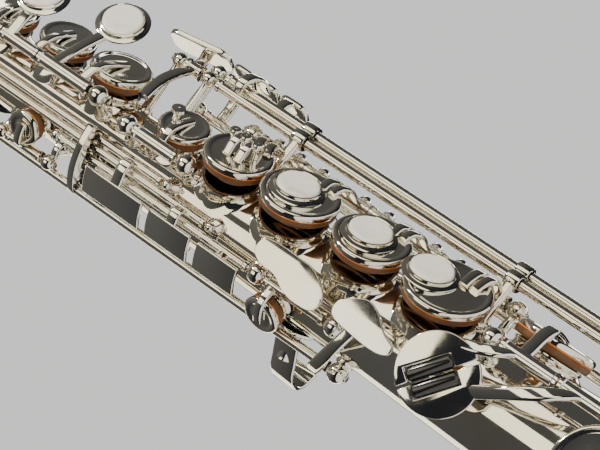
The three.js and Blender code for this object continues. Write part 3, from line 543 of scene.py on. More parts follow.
@dataclass
class Bench:
    """Turns, bends and joins pieces, in millimetres, and counts the finished ones."""

    shop: PaintShop
    count: int = 0

    def clear_selection(self) -> None:
        """Leaves nothing selected, so that the next step works on the new piece alone."""
        if bpy.context.object and bpy.context.object.mode != "OBJECT":
            bpy.ops.object.mode_set(mode="OBJECT")
        bpy.ops.object.select_all(action="DESELECT")

    def pick(self, piece: bpy.types.Object) -> None:
        """Makes a piece the only selected one.

        Args:
            piece: The piece to select.
        """
        self.clear_selection()
        piece.select_set(True)
        bpy.context.view_layer.objects.active = piece

    def apply_modifier(self, piece: bpy.types.Object, kind: str, **settings: object) -> None:
        """Adds a modifier with its settings to a piece and applies it.

        Args:
            piece: The piece to change.
            kind: Which modifier it is.
            settings: The modifier's settings.
        """
        self.pick(piece)
        bpy.ops.object.modifier_add(type=kind)
        modifier = piece.modifiers[-1]
        for key, value in settings.items():
            setattr(modifier, key, value)
        bpy.ops.object.modifier_apply(modifier=modifier.name)

    def round_edges(self, piece: bpy.types.Object, width: float, segments: int = 2) -> None:
        """Rounds a piece's sharp edges."""
        self.apply_modifier(
            piece, "BEVEL", width=width, segments=segments, limit_method="ANGLE",
            angle_limit=math.radians(32), use_clamp_overlap=True,
        )

    def turn(
        self, profile: list[tuple[float, float]], steps: int = 40, rounding: float = 0.0,
    ) -> bpy.types.Object:
        """Spins a profile of (radius, height) pairs round +Z into a closed piece.

        Args:
            profile: Points of the profile, which starts and ends on the axis or closes on itself.
            steps: Sides of the turned piece.
            rounding: Rounding of its sharp edges.

        Returns:
            The piece, made at the origin.
        """
        self.clear_selection()
        bpy.ops.mesh.primitive_plane_add(size=1.0)
        piece = bpy.context.object
        bpy.ops.object.mode_set(mode="EDIT")
        bpy.ops.mesh.select_all(action="SELECT")
        bpy.ops.mesh.merge(type="CENTER")
        radius, height = profile[0]
        bpy.ops.transform.translate(value=(radius, 0.0, height))
        for next_radius, next_height in profile[1:]:
            step = (next_radius - radius, 0.0, next_height - height)
            bpy.ops.mesh.extrude_region_move(TRANSFORM_OT_translate={"value": step})
            radius, height = next_radius, next_height
        bpy.ops.mesh.select_all(action="SELECT")
        bpy.ops.mesh.spin(steps=steps, angle=math.tau, center=(0, 0, 0), axis=(0, 0, 1))
        bpy.ops.mesh.select_all(action="SELECT")
        bpy.ops.mesh.remove_doubles(threshold=0.004)
        bpy.ops.mesh.normals_make_consistent(inside=False)
        bpy.ops.object.mode_set(mode="OBJECT")
        if rounding:
            self.round_edges(piece, rounding)
        return piece

    def strap(self, points: list[Vector], width: float, thickness: float) -> bpy.types.Object:
        """Bends a flat bar with rounded edges through points, with its width up the tube.

        Args:
            points: Points that the middle of the bar passes through.
            width: Width of the bar.
            thickness: Thickness of the bar.

        Returns:
            The bar as a mesh.
        """
        self.clear_selection()
        bpy.ops.curve.primitive_bezier_curve_add()
        bar = bpy.context.object
        data = bar.data
        data.dimensions = "3D"
        data.twist_mode = "Z_UP"
        data.resolution_u = 8
        data.bevel_depth = thickness / 2
        data.bevel_resolution = 2
        data.extrude = max(0.0, (width - thickness) / 2)
        data.use_fill_caps = True
        spline = data.splines[0]
        spline.bezier_points.add(len(points) - 2)
        for knot, point in zip(spline.bezier_points, points):
            knot.co = point
            knot.handle_left_type = "AUTO"
            knot.handle_right_type = "AUTO"
        bpy.ops.object.convert(target="MESH")
        bpy.ops.object.mode_set(mode="EDIT")
        bpy.ops.mesh.select_all(action="SELECT")
        bpy.ops.mesh.remove_doubles(threshold=0.004)
        bpy.ops.mesh.normals_make_consistent(inside=False)
        bpy.ops.object.mode_set(mode="OBJECT")
        return bar

    def plate(
        self, outline: list[tuple[float, float]], thickness: float, rounding: float = 0.25,
    ) -> bpy.types.Object:
        """Makes a flat plate with an outline in XY, from z 0 up to its thickness.

        Args:
            outline: Corners of the outline, in order.
            thickness: Thickness of the plate.
            rounding: Rounding of its edges.

        Returns:
            The plate, made at the origin.
        """
        self.clear_selection()
        bpy.ops.mesh.primitive_circle_add(vertices=len(outline), fill_type="NGON")
        piece = bpy.context.object
        for vertex, (x, y) in zip(piece.data.vertices, outline):
            vertex.co = (x, y, 0.0)
        bpy.ops.object.mode_set(mode="EDIT")
        bpy.ops.mesh.select_all(action="SELECT")
        bpy.ops.mesh.extrude_region_move(TRANSFORM_OT_translate={"value": (0, 0, thickness)})
        bpy.ops.mesh.select_all(action="SELECT")
        bpy.ops.mesh.normals_make_consistent(inside=False)
        bpy.ops.object.mode_set(mode="OBJECT")
        self.round_edges(piece, rounding, 3)
        return piece

    def cut(self, piece: bpy.types.Object, cutter: bpy.types.Object) -> None:
        """Cuts one piece out of another and throws the cutter away."""
        self.apply_modifier(piece, "BOOLEAN", object=cutter, operation="DIFFERENCE", solver="EXACT")
        bpy.data.objects.remove(cutter)

    def fuse(self, pieces: list[bpy.types.Object]) -> bpy.types.Object:
        """Joins pieces that are soldered together into one object.

        Args:
            pieces: The pieces, the first of which is kept.

        Returns:
            The joined object.
        """
        self.clear_selection()
        for piece in pieces:
            piece.select_set(True)
        bpy.context.view_layer.objects.active = pieces[0]
        if len(pieces) > 1:
            bpy.ops.object.join()
        return pieces[0]

    def place(self, piece: bpy.types.Object, *turns: Matrix) -> bpy.types.Object:
        """Moves a piece by matrices, the last one first, and applies the move.

        Args:
            piece: The piece to move.
            turns: The matrices.

        Returns:
            The piece.
        """
        for matrix in reversed(turns):
            piece.data.transform(matrix)
        return piece

    def finish(
        self, piece: bpy.types.Object, name: str, body: str,
        finish: MetalFinish | GrainFinish | PearlFinish, *replaced: str, smooth: float = 32.0,
    ) -> bpy.types.Object:
        """Names a piece, scales it to metres, dresses it and lets it ride on its body.

        Args:
            piece: The piece, in place in millimetres.
            name: Its name.
            body: The moving body that carries it.
            finish: Its finish.
            replaced: The plain solids that it stands for.
            smooth: Degrees under which neighbouring faces shade as one surface.

        Returns:
            The piece.
        """
        self.pick(piece)
        piece.scale = (MILLIMETRE,) * 3
        bpy.ops.object.transform_apply(location=True, rotation=True, scale=True)
        bpy.ops.object.shade_smooth_by_angle(angle=math.radians(smooth))
        piece.name = name
        piece.data.name = name
        self.shop.dress(piece, finish)
        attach(piece, body)
        if replaced:
            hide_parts(*replaced)
        self.count += 1
        return piece

    # -------------------------------------------------------------- parts that many keys share

    def post(self, line: HingeLine, z: float, ball: float) -> bpy.types.Object:
        """Soldered post with a round foot, a tapered stem and a ball head on a hinge line.

        Args:
            line: The hinge line that it carries.
            z: Its height.
            ball: Radius of its head.

        Returns:
            The post in place.
        """
        reach = line.rho - tube_radius(z) + 0.8
        neck = reach - 0.86 * ball
        profile = [(0, 0), (3.0, 0.2), (3.0, 1.3), (2.5, 1.9), (1.7, 2.6), (0.42 * ball, neck)]
        for step in range(1, 8):
            angle = math.radians(-62 + step * 152 / 7)
            profile.append((max(0.0, ball * math.cos(angle)), reach + ball * math.sin(angle)))
        profile[-1] = (0, reach + ball)
        piece = self.turn(profile, 20)
        return self.place(
            piece, facing(polar(tube_radius(z) - 0.8, line.phi, z), outward(line.phi)),
        )

    def hinge_tube(
        self, line: HingeLine, bottom: float, top: float, radius: float, bore: float = 0.0,
    ) -> bpy.types.Object:
        """Hinge tube with a raised collar at each end, hollow when a rod runs through it.

        Args:
            line: Its hinge line.
            bottom: Its lower end.
            top: Its upper end.
            radius: Its outer radius.
            bore: Radius of its hole, or 0 when it is solid.

        Returns:
            The tube in place.
        """
        collar = radius + 0.35
        profile = [
            (bore, bottom), (collar, bottom), (collar, bottom + 1.1), (radius, bottom + 1.5),
            (radius, top - 1.5), (collar, top - 1.1), (collar, top), (bore, top),
        ]
        if bore:
            profile.append((bore, bottom))
        piece = self.turn(profile, 20)
        return self.place(piece, Matrix.Translation(polar(line.rho, line.phi, 0)))

    def cup_arm(
        self, hole: ToneHole, line: HingeLine, z: float, width: float, past: float, land: float,
    ) -> bpy.types.Object:
        """Arm that rises from a hinge tube over a cup's edge and lands on its top.

        Args:
            hole: The tone hole whose cup the arm carries.
            line: The hinge line that the arm comes from.
            z: Height at which it leaves the tube.
            width: Width of the arm.
            past: Where it lands, as a part of the cup's radius past its middle.
            land: Height at which it lands.

        Returns:
            The arm, with its cup closed.
        """
        top = rim_plane(hole) + CUP_TOP
        side = 1 if hole.phi > line.phi else -1
        along = outward(hole.phi + 90) * (side * hole.cup)
        out = outward(hole.phi)
        edge = out * (top + 1.0) - along * 0.86
        hump = out * (top + 1.3) - along * 0.5
        end = out * (top + 0.1) + along * past
        points = [polar(line.rho, line.phi + 3 * side, z), edge + UP * (0.6 * z + 0.4 * land)]
        if past > -0.3:
            points.append(hump + UP * (0.3 * z + 0.7 * land))
        points.append(end + UP * land)
        return self.strap(points, width, 1.7)


# ------------------------------------------------------------------ sub-assemblies


@dataclass
class BodyTube:
    """Conical tube with its drawn tone holes, octave pips and every soldered post."""

    sides: int = 112
    fillet: float = 2.4
    supports: tuple[float, float] = (265.0, 349.0)
    posts: dict[Line, tuple[float, ...]] = field(default_factory=lambda: {
        Line.LOWER_STACK: (260.3, 365.7),
        Line.UPPER_STACK: (404.3, 500.8),
        Line.G_SHARP: (365.2, 389.8),
        Line.LITTLE_FINGER: (252.4, 185.8),
        Line.TRILL: (296.8, 327.1),
        Line.HIGH_F_SHARP: (293.2, 569.2),
        Line.SIDE_E: (368.4, 541.8),
        Line.SIDE_C: (348.6, 467.6),
        Line.SIDE_B_FLAT: (329.4, 411.8),
        Line.SIDE_CUPS: (413.2, 433.8, 467.8, 487.2),
        Line.PALM: (484.6, 510.4, 529, 556),
        Line.OCTAVE: (462.6, 501.6, 531.6, 578.2),
        Line.LOW_C_SHARP: (158.6, 393),
        Line.LOW_B: (122.2, 387.4, 399.8),
        Line.LOW_B_FLAT: (82.8, 387.4),
    })

    def tube(self, bench: Bench) -> bpy.types.Object:
        """Turned cone with its tone holes drilled through the wall.

        Args:
            bench: Where it is made.

        Returns:
            The tube.
        """
        rings = 44
        bottom = BELL_JOINT + GAP
        heights = [bottom + (BODY_TOP - bottom) * step / rings for step in range(rings + 1)]
        outside = [(tube_radius(z), z) for z in heights]
        inside = [(tube_radius(z) - WALL, z) for z in reversed(heights)]
        cone = bench.turn([*outside, *inside, outside[0]], self.sides)
        drills = []
        for hole in HOLES.values():
            bench.clear_selection()
            bpy.ops.mesh.primitive_cylinder_add(
                vertices=32, radius=hole.hole, depth=tube_radius(hole.z),
            )
            drill = bpy.context.object
            middle = polar(tube_radius(hole.z), hole.phi, hole.z)
            drills.append(bench.place(drill, facing(middle, outward(hole.phi))))
        bench.cut(cone, bench.fuse(drills))
        return cone

    def chimney(self, bench: Bench, hole: ToneHole) -> bpy.types.Object:
        """Drawn tone hole whose wall flows out of the tube and ends in a rolled rim.

        Args:
            bench: Where it is made.
            hole: The tone hole.

        Returns:
            The chimney in place.
        """
        radius = tube_radius(hole.z)
        rim = RIM_HEIGHT
        wall = hole.hole + WALL
        grown = [self.fillet * (step / 7) ** 1.3 for step in range(8)]
        profile = [
            (hole.hole, 0.0), (hole.hole, rim - 0.6), (hole.hole + 0.15, rim - 0.15),
            (hole.hole + 0.5, rim), (wall + 0.25, rim - 0.1), (wall + 0.4, rim - 0.5),
            (wall + 0.15, rim - 0.9), (wall, rim - 1.2),
        ]
        profile += [(wall + grow, 0.0) for grow in grown]
        profile.append((hole.hole, 0.0))
        piece = bench.turn(profile, 96 if hole.hole > 7 else 56)
        for vertex in piece.data.vertices:
            if vertex.co.z > 1e-4:
                continue
            reach = vertex.co.xy.length
            spread = min(1.0, max(0.0, (reach - wall) / self.fillet))
            local = tube_radius(hole.z + vertex.co.y)
            sunk = math.sqrt(max(local * local - vertex.co.x ** 2, 0.0)) - radius
            lift = 1.5 * (1 - spread) ** 2 if reach > wall - 0.01 else -0.2
            vertex.co.z = min(sunk + lift - 0.04 * spread, rim - 1.25)
        across = outward(hole.phi).cross(UP) * -1.0
        turn = Matrix((
            (across.x, 0, outward(hole.phi).x, 0), (across.y, 0, outward(hole.phi).y, 0),
            (0, 1, 0, 0), (0, 0, 0, 1),
        ))
        return bench.place(piece, Matrix.Translation(polar(radius, hole.phi, hole.z)), turn)

    def build(self, bench: Bench) -> None:
        """Makes the tube and everything soldered to it.

        Args:
            bench: Where they are made.
        """
        bench.finish(self.tube(bench), "body_tube_shell", "body", SILVER, "body_tube")
        for name, hole in HOLES.items():
            bench.finish(self.chimney(bench, hole), f"tone_hole_{name}", "body", SILVER, smooth=50)
        for line, heights in self.posts.items():
            for index, z in enumerate(heights):
                piece = bench.post(line.value, z, post_ball(line))
                bench.finish(
                    piece, f"post_{line.name.lower()}_{index}", "body", KEY_SILVER, smooth=50,
                )
        for index, z in enumerate(PIP_HEIGHTS):
            pip = bench.turn([
                (0.9, -1), (2.6, -1), (2.2, 0.6), (1.8, 1.4), (1.8, 3.6), (1.4, 4), (0.9, 4),
                (0.9, -1),
            ], 24)
            bench.place(pip, facing(polar(tube_radius(z), PIP_ANGLE, z), outward(PIP_ANGLE)))
            bench.finish(pip, f"octave_pip_{index}", "body", SILVER)
        for index, z in enumerate(self.supports):
            self.support(bench, index, z)

    def support(self, bench: Bench, index: int, z: float) -> None:
        """Strut with two bored heads that the long low-note tubes run through.

        Args:
            bench: Where it is made.
            index: Its number.
            z: Its height.
        """
        strut = bench.strap([
            polar(tube_radius(z) - 0.4, -40, z), polar(24, -44, z), polar(31.5, -47.6, z),
        ], 3.6, 2.6)
        foot = bench.turn([(0, 0), (3.6, 0), (3.6, 0.9), (2.2, 1.6), (0, 1.8)], 24)
        bench.place(foot, facing(polar(tube_radius(z) - 0.3, -40, z), outward(-40)))
        heads = [strut, foot]
        for line in (Line.LOW_B.value, Line.LOW_B_FLAT.value):
            head = bench.turn([
                (2.2, -2.5), (2.9, -2.5), (3.15, -2.1), (3.15, 2.1),
                (2.9, 2.5), (2.2, 2.5), (2.2, -2.5),
            ], 28)
            heads.append(bench.place(head, Matrix.Translation(polar(line.rho, line.phi, z))))
        bench.finish(bench.fuse(heads), f"long_tube_support_{index}", "body", KEY_SILVER, smooth=40)


@dataclass
class Bell:
    """Flared bell with its rolled rim, joining ring and key guard."""

    flare_power: float = 3.4

    def flare(self, z: float) -> float:
        """Outer radius of the bell at a height."""
        spread = BELL_RADIUS - 1.6 - tube_radius(0)
        return tube_radius(z) + spread * ((BELL_JOINT - z) / BELL_JOINT) ** self.flare_power

    def build(self, bench: Bench) -> None:
        """Makes the bell, its ring and the guard over the bell keys.

        Args:
            bench: Where they are made.
        """
        steps = 30
        heights = [
            BELL_JOINT - (BELL_JOINT - 2.2) * (step / steps) ** 0.85
            for step in range(steps + 1)
        ]
        outside = [(self.flare(z), z) for z in heights]
        inside = [(self.flare(z) - WALL, z) for z in reversed(heights)]
        rim = [
            (BELL_RADIUS - 0.35, 2.5), (BELL_RADIUS, 1.7), (BELL_RADIUS - 0.15, 0.8),
            (BELL_RADIUS - 0.8, 0.15), (BELL_RADIUS - 1.5, 0.0), (BELL_RADIUS - 2.8, 0.0),
            (BELL_RADIUS - 3.5, 0.4), (BELL_RADIUS - 3.6, 1.1),
        ]
        bell = bench.turn([*outside, *rim, *inside, outside[0]], 128)
        bench.finish(bell, "bell_flare", "body", SILVER, "bell", smooth=40)
        low = BELL_JOINT - 4
        inner = tube_radius(low) + 0.6
        ring = bench.turn([
            (inner, low), (inner + 0.9, low), (inner + 1.5, low + 0.5), (inner + 1.5, low + 1.5),
            (inner + 0.9, low + 2.0), (inner + 0.9, low + 6.0), (inner + 1.5, low + 6.5),
            (inner + 1.5, low + 7.5), (inner + 0.9, low + 8.0), (inner, low + 8.0), (inner, low),
        ], 96, 0.15)
        bench.finish(ring, "bell_joint_ring", "body", KEY_SILVER, "bell_ring")
        base = tube_radius(112.5)
        rail = bench.strap([
            polar(base + 0.5, -125, 113), polar(34, -122, 113), polar(41, -116, 113),
            polar(42, -104, 113), polar(42.2, -90, 113.4), polar(41, -76, 113),
            polar(34, -67, 113), polar(base + 0.5, -64, 113),
        ], 3.2, 2.2)
        feet = [rail]
        for phi in (-125, -64):
            foot = bench.turn([(0, 0), (4.4, 0), (4.4, 0.7), (2.0, 1.3), (0, 1.4)], 32)
            feet.append(bench.place(foot, facing(polar(base + 0.2, phi, 113), outward(phi))))
        bench.finish(bench.fuse(feet), "bell_guard_rail", "body", KEY_SILVER, "bell_key_guard")
        bumper = bench.turn([(0, 0), (3.2, 0), (3.2, 2.0), (2.6, 2.6), (0, 2.6)], 28)
        bench.place(bumper, facing(polar(41.2, -90, 113.4), -outward(-90)))
        bench.finish(bumper, "guard_bumper_felt", "body", RED_FELT)


@dataclass
class NeckJoint:
    """Detachable neck, its clamp and its cork."""

    clamp_height: float = 587.0

    def build(self, bench: Bench) -> None:
        """Makes the neck, socket ring, clamp screw and cork.

        Args:
            bench: Where they are made.
        """
        neck = bench.turn([
            (5.1, 574), (5.9, 574), (5.9, BODY_TOP + GAP), (8.0, BODY_TOP + GAP), (8.4, 592.8),
            (8.4, 595.6), (8.0, 596.1), (7.2, 596.6), (7.0, 598), (6.9, 606), (6.3, 613),
            (5.7, 622), (5.5, 634), (5.3, NECK_END), (4.5, NECK_END), (5.1, 574),
        ], 64, 0.12)
        bench.finish(neck, "neck_tube", "body", SILVER, "neck", smooth=40)
        inner = tube_radius(582) + 0.5
        band = bench.turn([
            (inner, 582.6), (inner + 1.3, 582.6), (inner + 1.7, 583.1), (inner + 1.7, 591.1),
            (inner + 1.3, 591.6), (inner, 591.6), (inner, 582.6),
        ], 72)
        centre = polar(inner + 4, 90, self.clamp_height)
        lugs = []
        for side in (-1, 1):
            lug = bench.turn([
                (0, -2.4), (2.9, -2.4), (3.2, -2.0), (3.2, 2.0), (2.9, 2.4), (0, 2.4),
            ], 32)
            lugs.append(
                bench.place(
                    lug, Matrix.Translation(centre + outward(0) * (side * 2.9)),
                    facing(Vector(), outward(0)),
                ),
            )
        bench.clear_selection()
        bpy.ops.mesh.primitive_cube_add(size=1.0)
        slit = bench.place(
            bpy.context.object, Matrix.Translation(centre), Matrix.Diagonal((14, 1.2, 12, 1)),
        )
        bench.cut(band, slit)
        bench.finish(
            bench.fuse([band, *lugs]), "neck_clamp_ring", "body", KEY_SILVER, "neck_socket_ring",
        )
        screw = bench.turn([
            (0, -6.2), (0.9, -6.2), (1.1, -5.9), (1.1, 4.4), (2.3, 4.6), (3.3, 5.2), (3.5, 6.0),
            (3.0, 6.8), (1.6, 7.2), (0, 7.3),
        ], 32)
        bench.place(screw, facing(centre, outward(0)))
        bench.finish(screw, "neck_thumb_screw", "body", KEY_SILVER, "neck_clamp_screw", smooth=50)
        cork = bench.turn([
            (5.75, 623.5), (7.4, 623.5), (7.8, 624.2), (7.9, 630),
            (7.9, 648), (7.6, 648.5), (5.75, 648.5), (5.75, 623.5),
        ], 56)
        bench.finish(cork, "cork_sleeve", "body", CORK, "neck_cork")


@dataclass
class Mouthpiece:
    """Hard rubber mouthpiece with its reed and ligature."""

    bottom: float = 634.0
    top: float = 698.0
    table: float = 6.6

    def build(self, bench: Bench) -> None:
        """Makes the mouthpiece, reed and ligature.

        Args:
            bench: Where they are made.
        """
        blank = bench.turn([
            (0, self.bottom), (10.3, self.bottom),
            (10.8, self.bottom + 0.6), (10.9, self.bottom + 7.4),
            (10.5, self.bottom + 8.2), (10.1, self.bottom + 12), (9.9, 660), (9.6, 674), (8.8, 686),
            (8.0, self.top), (0, self.top),
        ], 64)
        for size, middle, tilt in (
            ((30, 12, 60), Vector((0, self.table + 6, 680)), 0.0),
            ((8.4, 8, 27), Vector((0, 4.5, 682.4)), 0.0),
            ((40, 20, 60), Vector((0, -17.4, 676.3)), -24.0),
        ):
            bench.clear_selection()
            bpy.ops.mesh.primitive_cube_add(size=1.0)
            block = bench.place(
                bpy.context.object, Matrix.Translation(middle),
                Matrix.Rotation(math.radians(tilt), 4, "X"), Matrix.Diagonal((*size, 1)),
            )
            bench.cut(blank, block)
        bore = bench.turn([
            (0, 633), (8.2, 633), (8.2, 650.5), (5.2, 651.5), (5.2, 684), (0, 684),
        ], 40)
        bench.cut(blank, bore)
        bench.round_edges(blank, 0.25)
        bench.finish(blank, "mouthpiece_body", "body", EBONITE, "mouthpiece", smooth=35)
        reed = bench.plate([
            (-5.4, 656), (5.4, 656), (5.5, 690), (4.4, 695.8), (0, 697.4), (-4.4, 695.8),
            (-5.5, 690),
        ], 2.6, 0.15)
        for vertex in reed.data.vertices:
            slope = max(0.0, (vertex.co.y - 676) / 21.4)
            if vertex.co.z > 1.3:
                vertex.co.z = 2.6 - 2.3 * slope - 0.05 * abs(vertex.co.x) ** 1.2
        flat = Matrix(((1, 0, 0, 0), (0, 0, 1, self.table + GAP), (0, 1, 0, 0), (0, 0, 0, 1)))
        bench.place(reed, flat)
        bench.pick(reed)
        bpy.ops.object.mode_set(mode="EDIT")
        bpy.ops.mesh.select_all(action="SELECT")
        bpy.ops.mesh.normals_make_consistent(inside=False)
        bpy.ops.object.mode_set(mode="OBJECT")
        bench.finish(reed, "cane_reed", "body", CANE, "reed")
        inner = 11.3
        band = bench.turn([
            (inner, 657), (inner + 0.8, 657), (inner + 1.1, 657.5),
            (inner + 0.8, 658), (inner + 0.8, 670),
            (inner + 1.1, 670.5), (inner + 0.8, 671), (inner, 671), (inner, 657),
        ], 72)
        screws = [band]
        for z in (660.0, 668.0):
            screw = bench.turn([
                (0, -5), (1.5, -5), (1.6, -4.6), (1.6, 2.4),
                (1.0, 2.6), (1.0, 4), (2.4, 4.4), (2.6, 5),
                (2.6, 7.4), (2.2, 8), (0, 8),
            ], 24)
            screws.append(bench.place(screw, facing(polar(inner + 2, 180, z), outward(-90))))
        bench.finish(bench.fuse(screws), "ligature_band", "body", KEY_SILVER, "ligature")


@dataclass
class KeyCup:
    """Cup and pad of one key, closed over its tone hole, with the turn that it rests at."""

    name: str
    hole: ToneHole
    line: HingeLine
    body: str
    rest_turn: float = 0.0

    def make(self, bench: Bench) -> bpy.types.Object:
        """Turns the cup, dresses its pad and returns the cup for its arm to be joined to.

        Args:
            bench: Where it is made.

        Returns:
            The cup, turned to its rest position.
        """
        radius = self.hole.cup
        big = radius > 9
        wall = 2.3 if big else 1.9
        bottom = CUP_TOP - wall
        cup = bench.turn([
            (0, bottom), (radius - 0.5, bottom),
            (radius, bottom + 0.12), (radius + 0.1, bottom + 0.9),
            (radius, CUP_TOP - 0.75), (radius - 0.35, CUP_TOP - 0.22), (radius - 0.9, CUP_TOP),
            (radius - 1.6, CUP_TOP - 0.06), (radius - 2.1, CUP_TOP - 0.34),
            (radius - 2.8, CUP_TOP - 0.42),
            (radius * 0.5, CUP_TOP - 0.3), (0, CUP_TOP - 0.26),
        ], 72 if big else 40)
        seat = facing(
            outward(self.hole.phi) * rim_plane(self.hole) + UP * self.hole.z,
            outward(self.hole.phi),
        )
        turn = swing(self.line, self.rest_turn)
        bench.place(cup, turn, seat)
        pad = bench.turn([
            (0, GAP), (radius - 2.4, GAP), (radius - 1.0, GAP + 0.1), (radius - 0.5, GAP + 0.5),
            (radius - 0.35, GAP + 1.2), (radius - 0.35, bottom - 0.5), (0, bottom - 0.5),
        ], 64 if big else 36)
        bench.place(pad, turn, seat)
        bench.finish(pad, f"{self.name}_leather", self.body, LEATHER, smooth=60)
        if self.hole.hole > 7:
            inner = self.hole.hole - 0.8
            dome = bench.turn([
                (0, -3.0), (inner * 0.6, -2.9), (inner - 1.1, -2.5), (inner - 0.3, -1.7),
                (inner, -0.6), (inner, GAP + 0.1), (0, GAP + 0.1),
            ], 64)
            bench.place(dome, turn, seat)
            bench.finish(dome, f"{self.name}_resonator", self.body, RESONATOR, smooth=60)
        # Thin ring of pad leather under the cup, painted bright orange as the pad's lit side: a
        # painted highlight.
        edge = bench.turn([
            (0, bottom - 0.48), (radius - 0.5, bottom - 0.48), (radius - 0.25, bottom - 0.3),
            (radius - 0.3, bottom - 0.03), (0, bottom - 0.03),
        ], 64 if big else 36)
        bench.place(edge, turn, seat)
        bench.finish(edge, f"{self.name}_leather_edge", self.body, PAD_EDGE_PAINTED_LIT, smooth=60)
        return cup


@dataclass
class Pearl:
    """Finger pearl in its turned silver holder."""

    name: str
    body: str
    seat: Vector
    direction: Vector

    def make(self, bench: Bench, turn: Matrix) -> bpy.types.Object:
        """Makes the pearl and returns its holder for the key to be joined to.

        Args:
            bench: Where it is made.
            turn: The turn that the key rests at.

        Returns:
            The holder, turned to its rest position.
        """
        radius = PEARL_RADIUS
        base = facing(self.seat, self.direction)
        holder = bench.turn([
            (0, 0.4), (radius + 2.2, 1.5), (radius + 2.3, 1.85),
            (radius + 1.9, 2.15), (radius + 1.2, 2.2),
            (radius + 0.75, 2.5), (radius + 0.65, 3.1), (radius + 0.75, 3.5), (radius + 0.45, 3.65),
            (radius + 0.2, 3.5), (radius + 0.15, 1.8), (0, 1.8),
        ], 64)
        bench.place(holder, turn, base)
        shell = bench.turn([
            (0, 1.9), (radius, 1.9), (radius, 3.3), (radius - 0.15, 3.75), (radius - 0.55, 4.05),
            (radius - 1.2, 4.1), (radius * 0.5, 3.75), (0, 3.6),
        ], 64)
        bench.place(shell, turn, base)
        bench.finish(shell, f"{self.name}_shell", self.body, PEARL, f"{self.name}_pearl", smooth=60)
        return holder


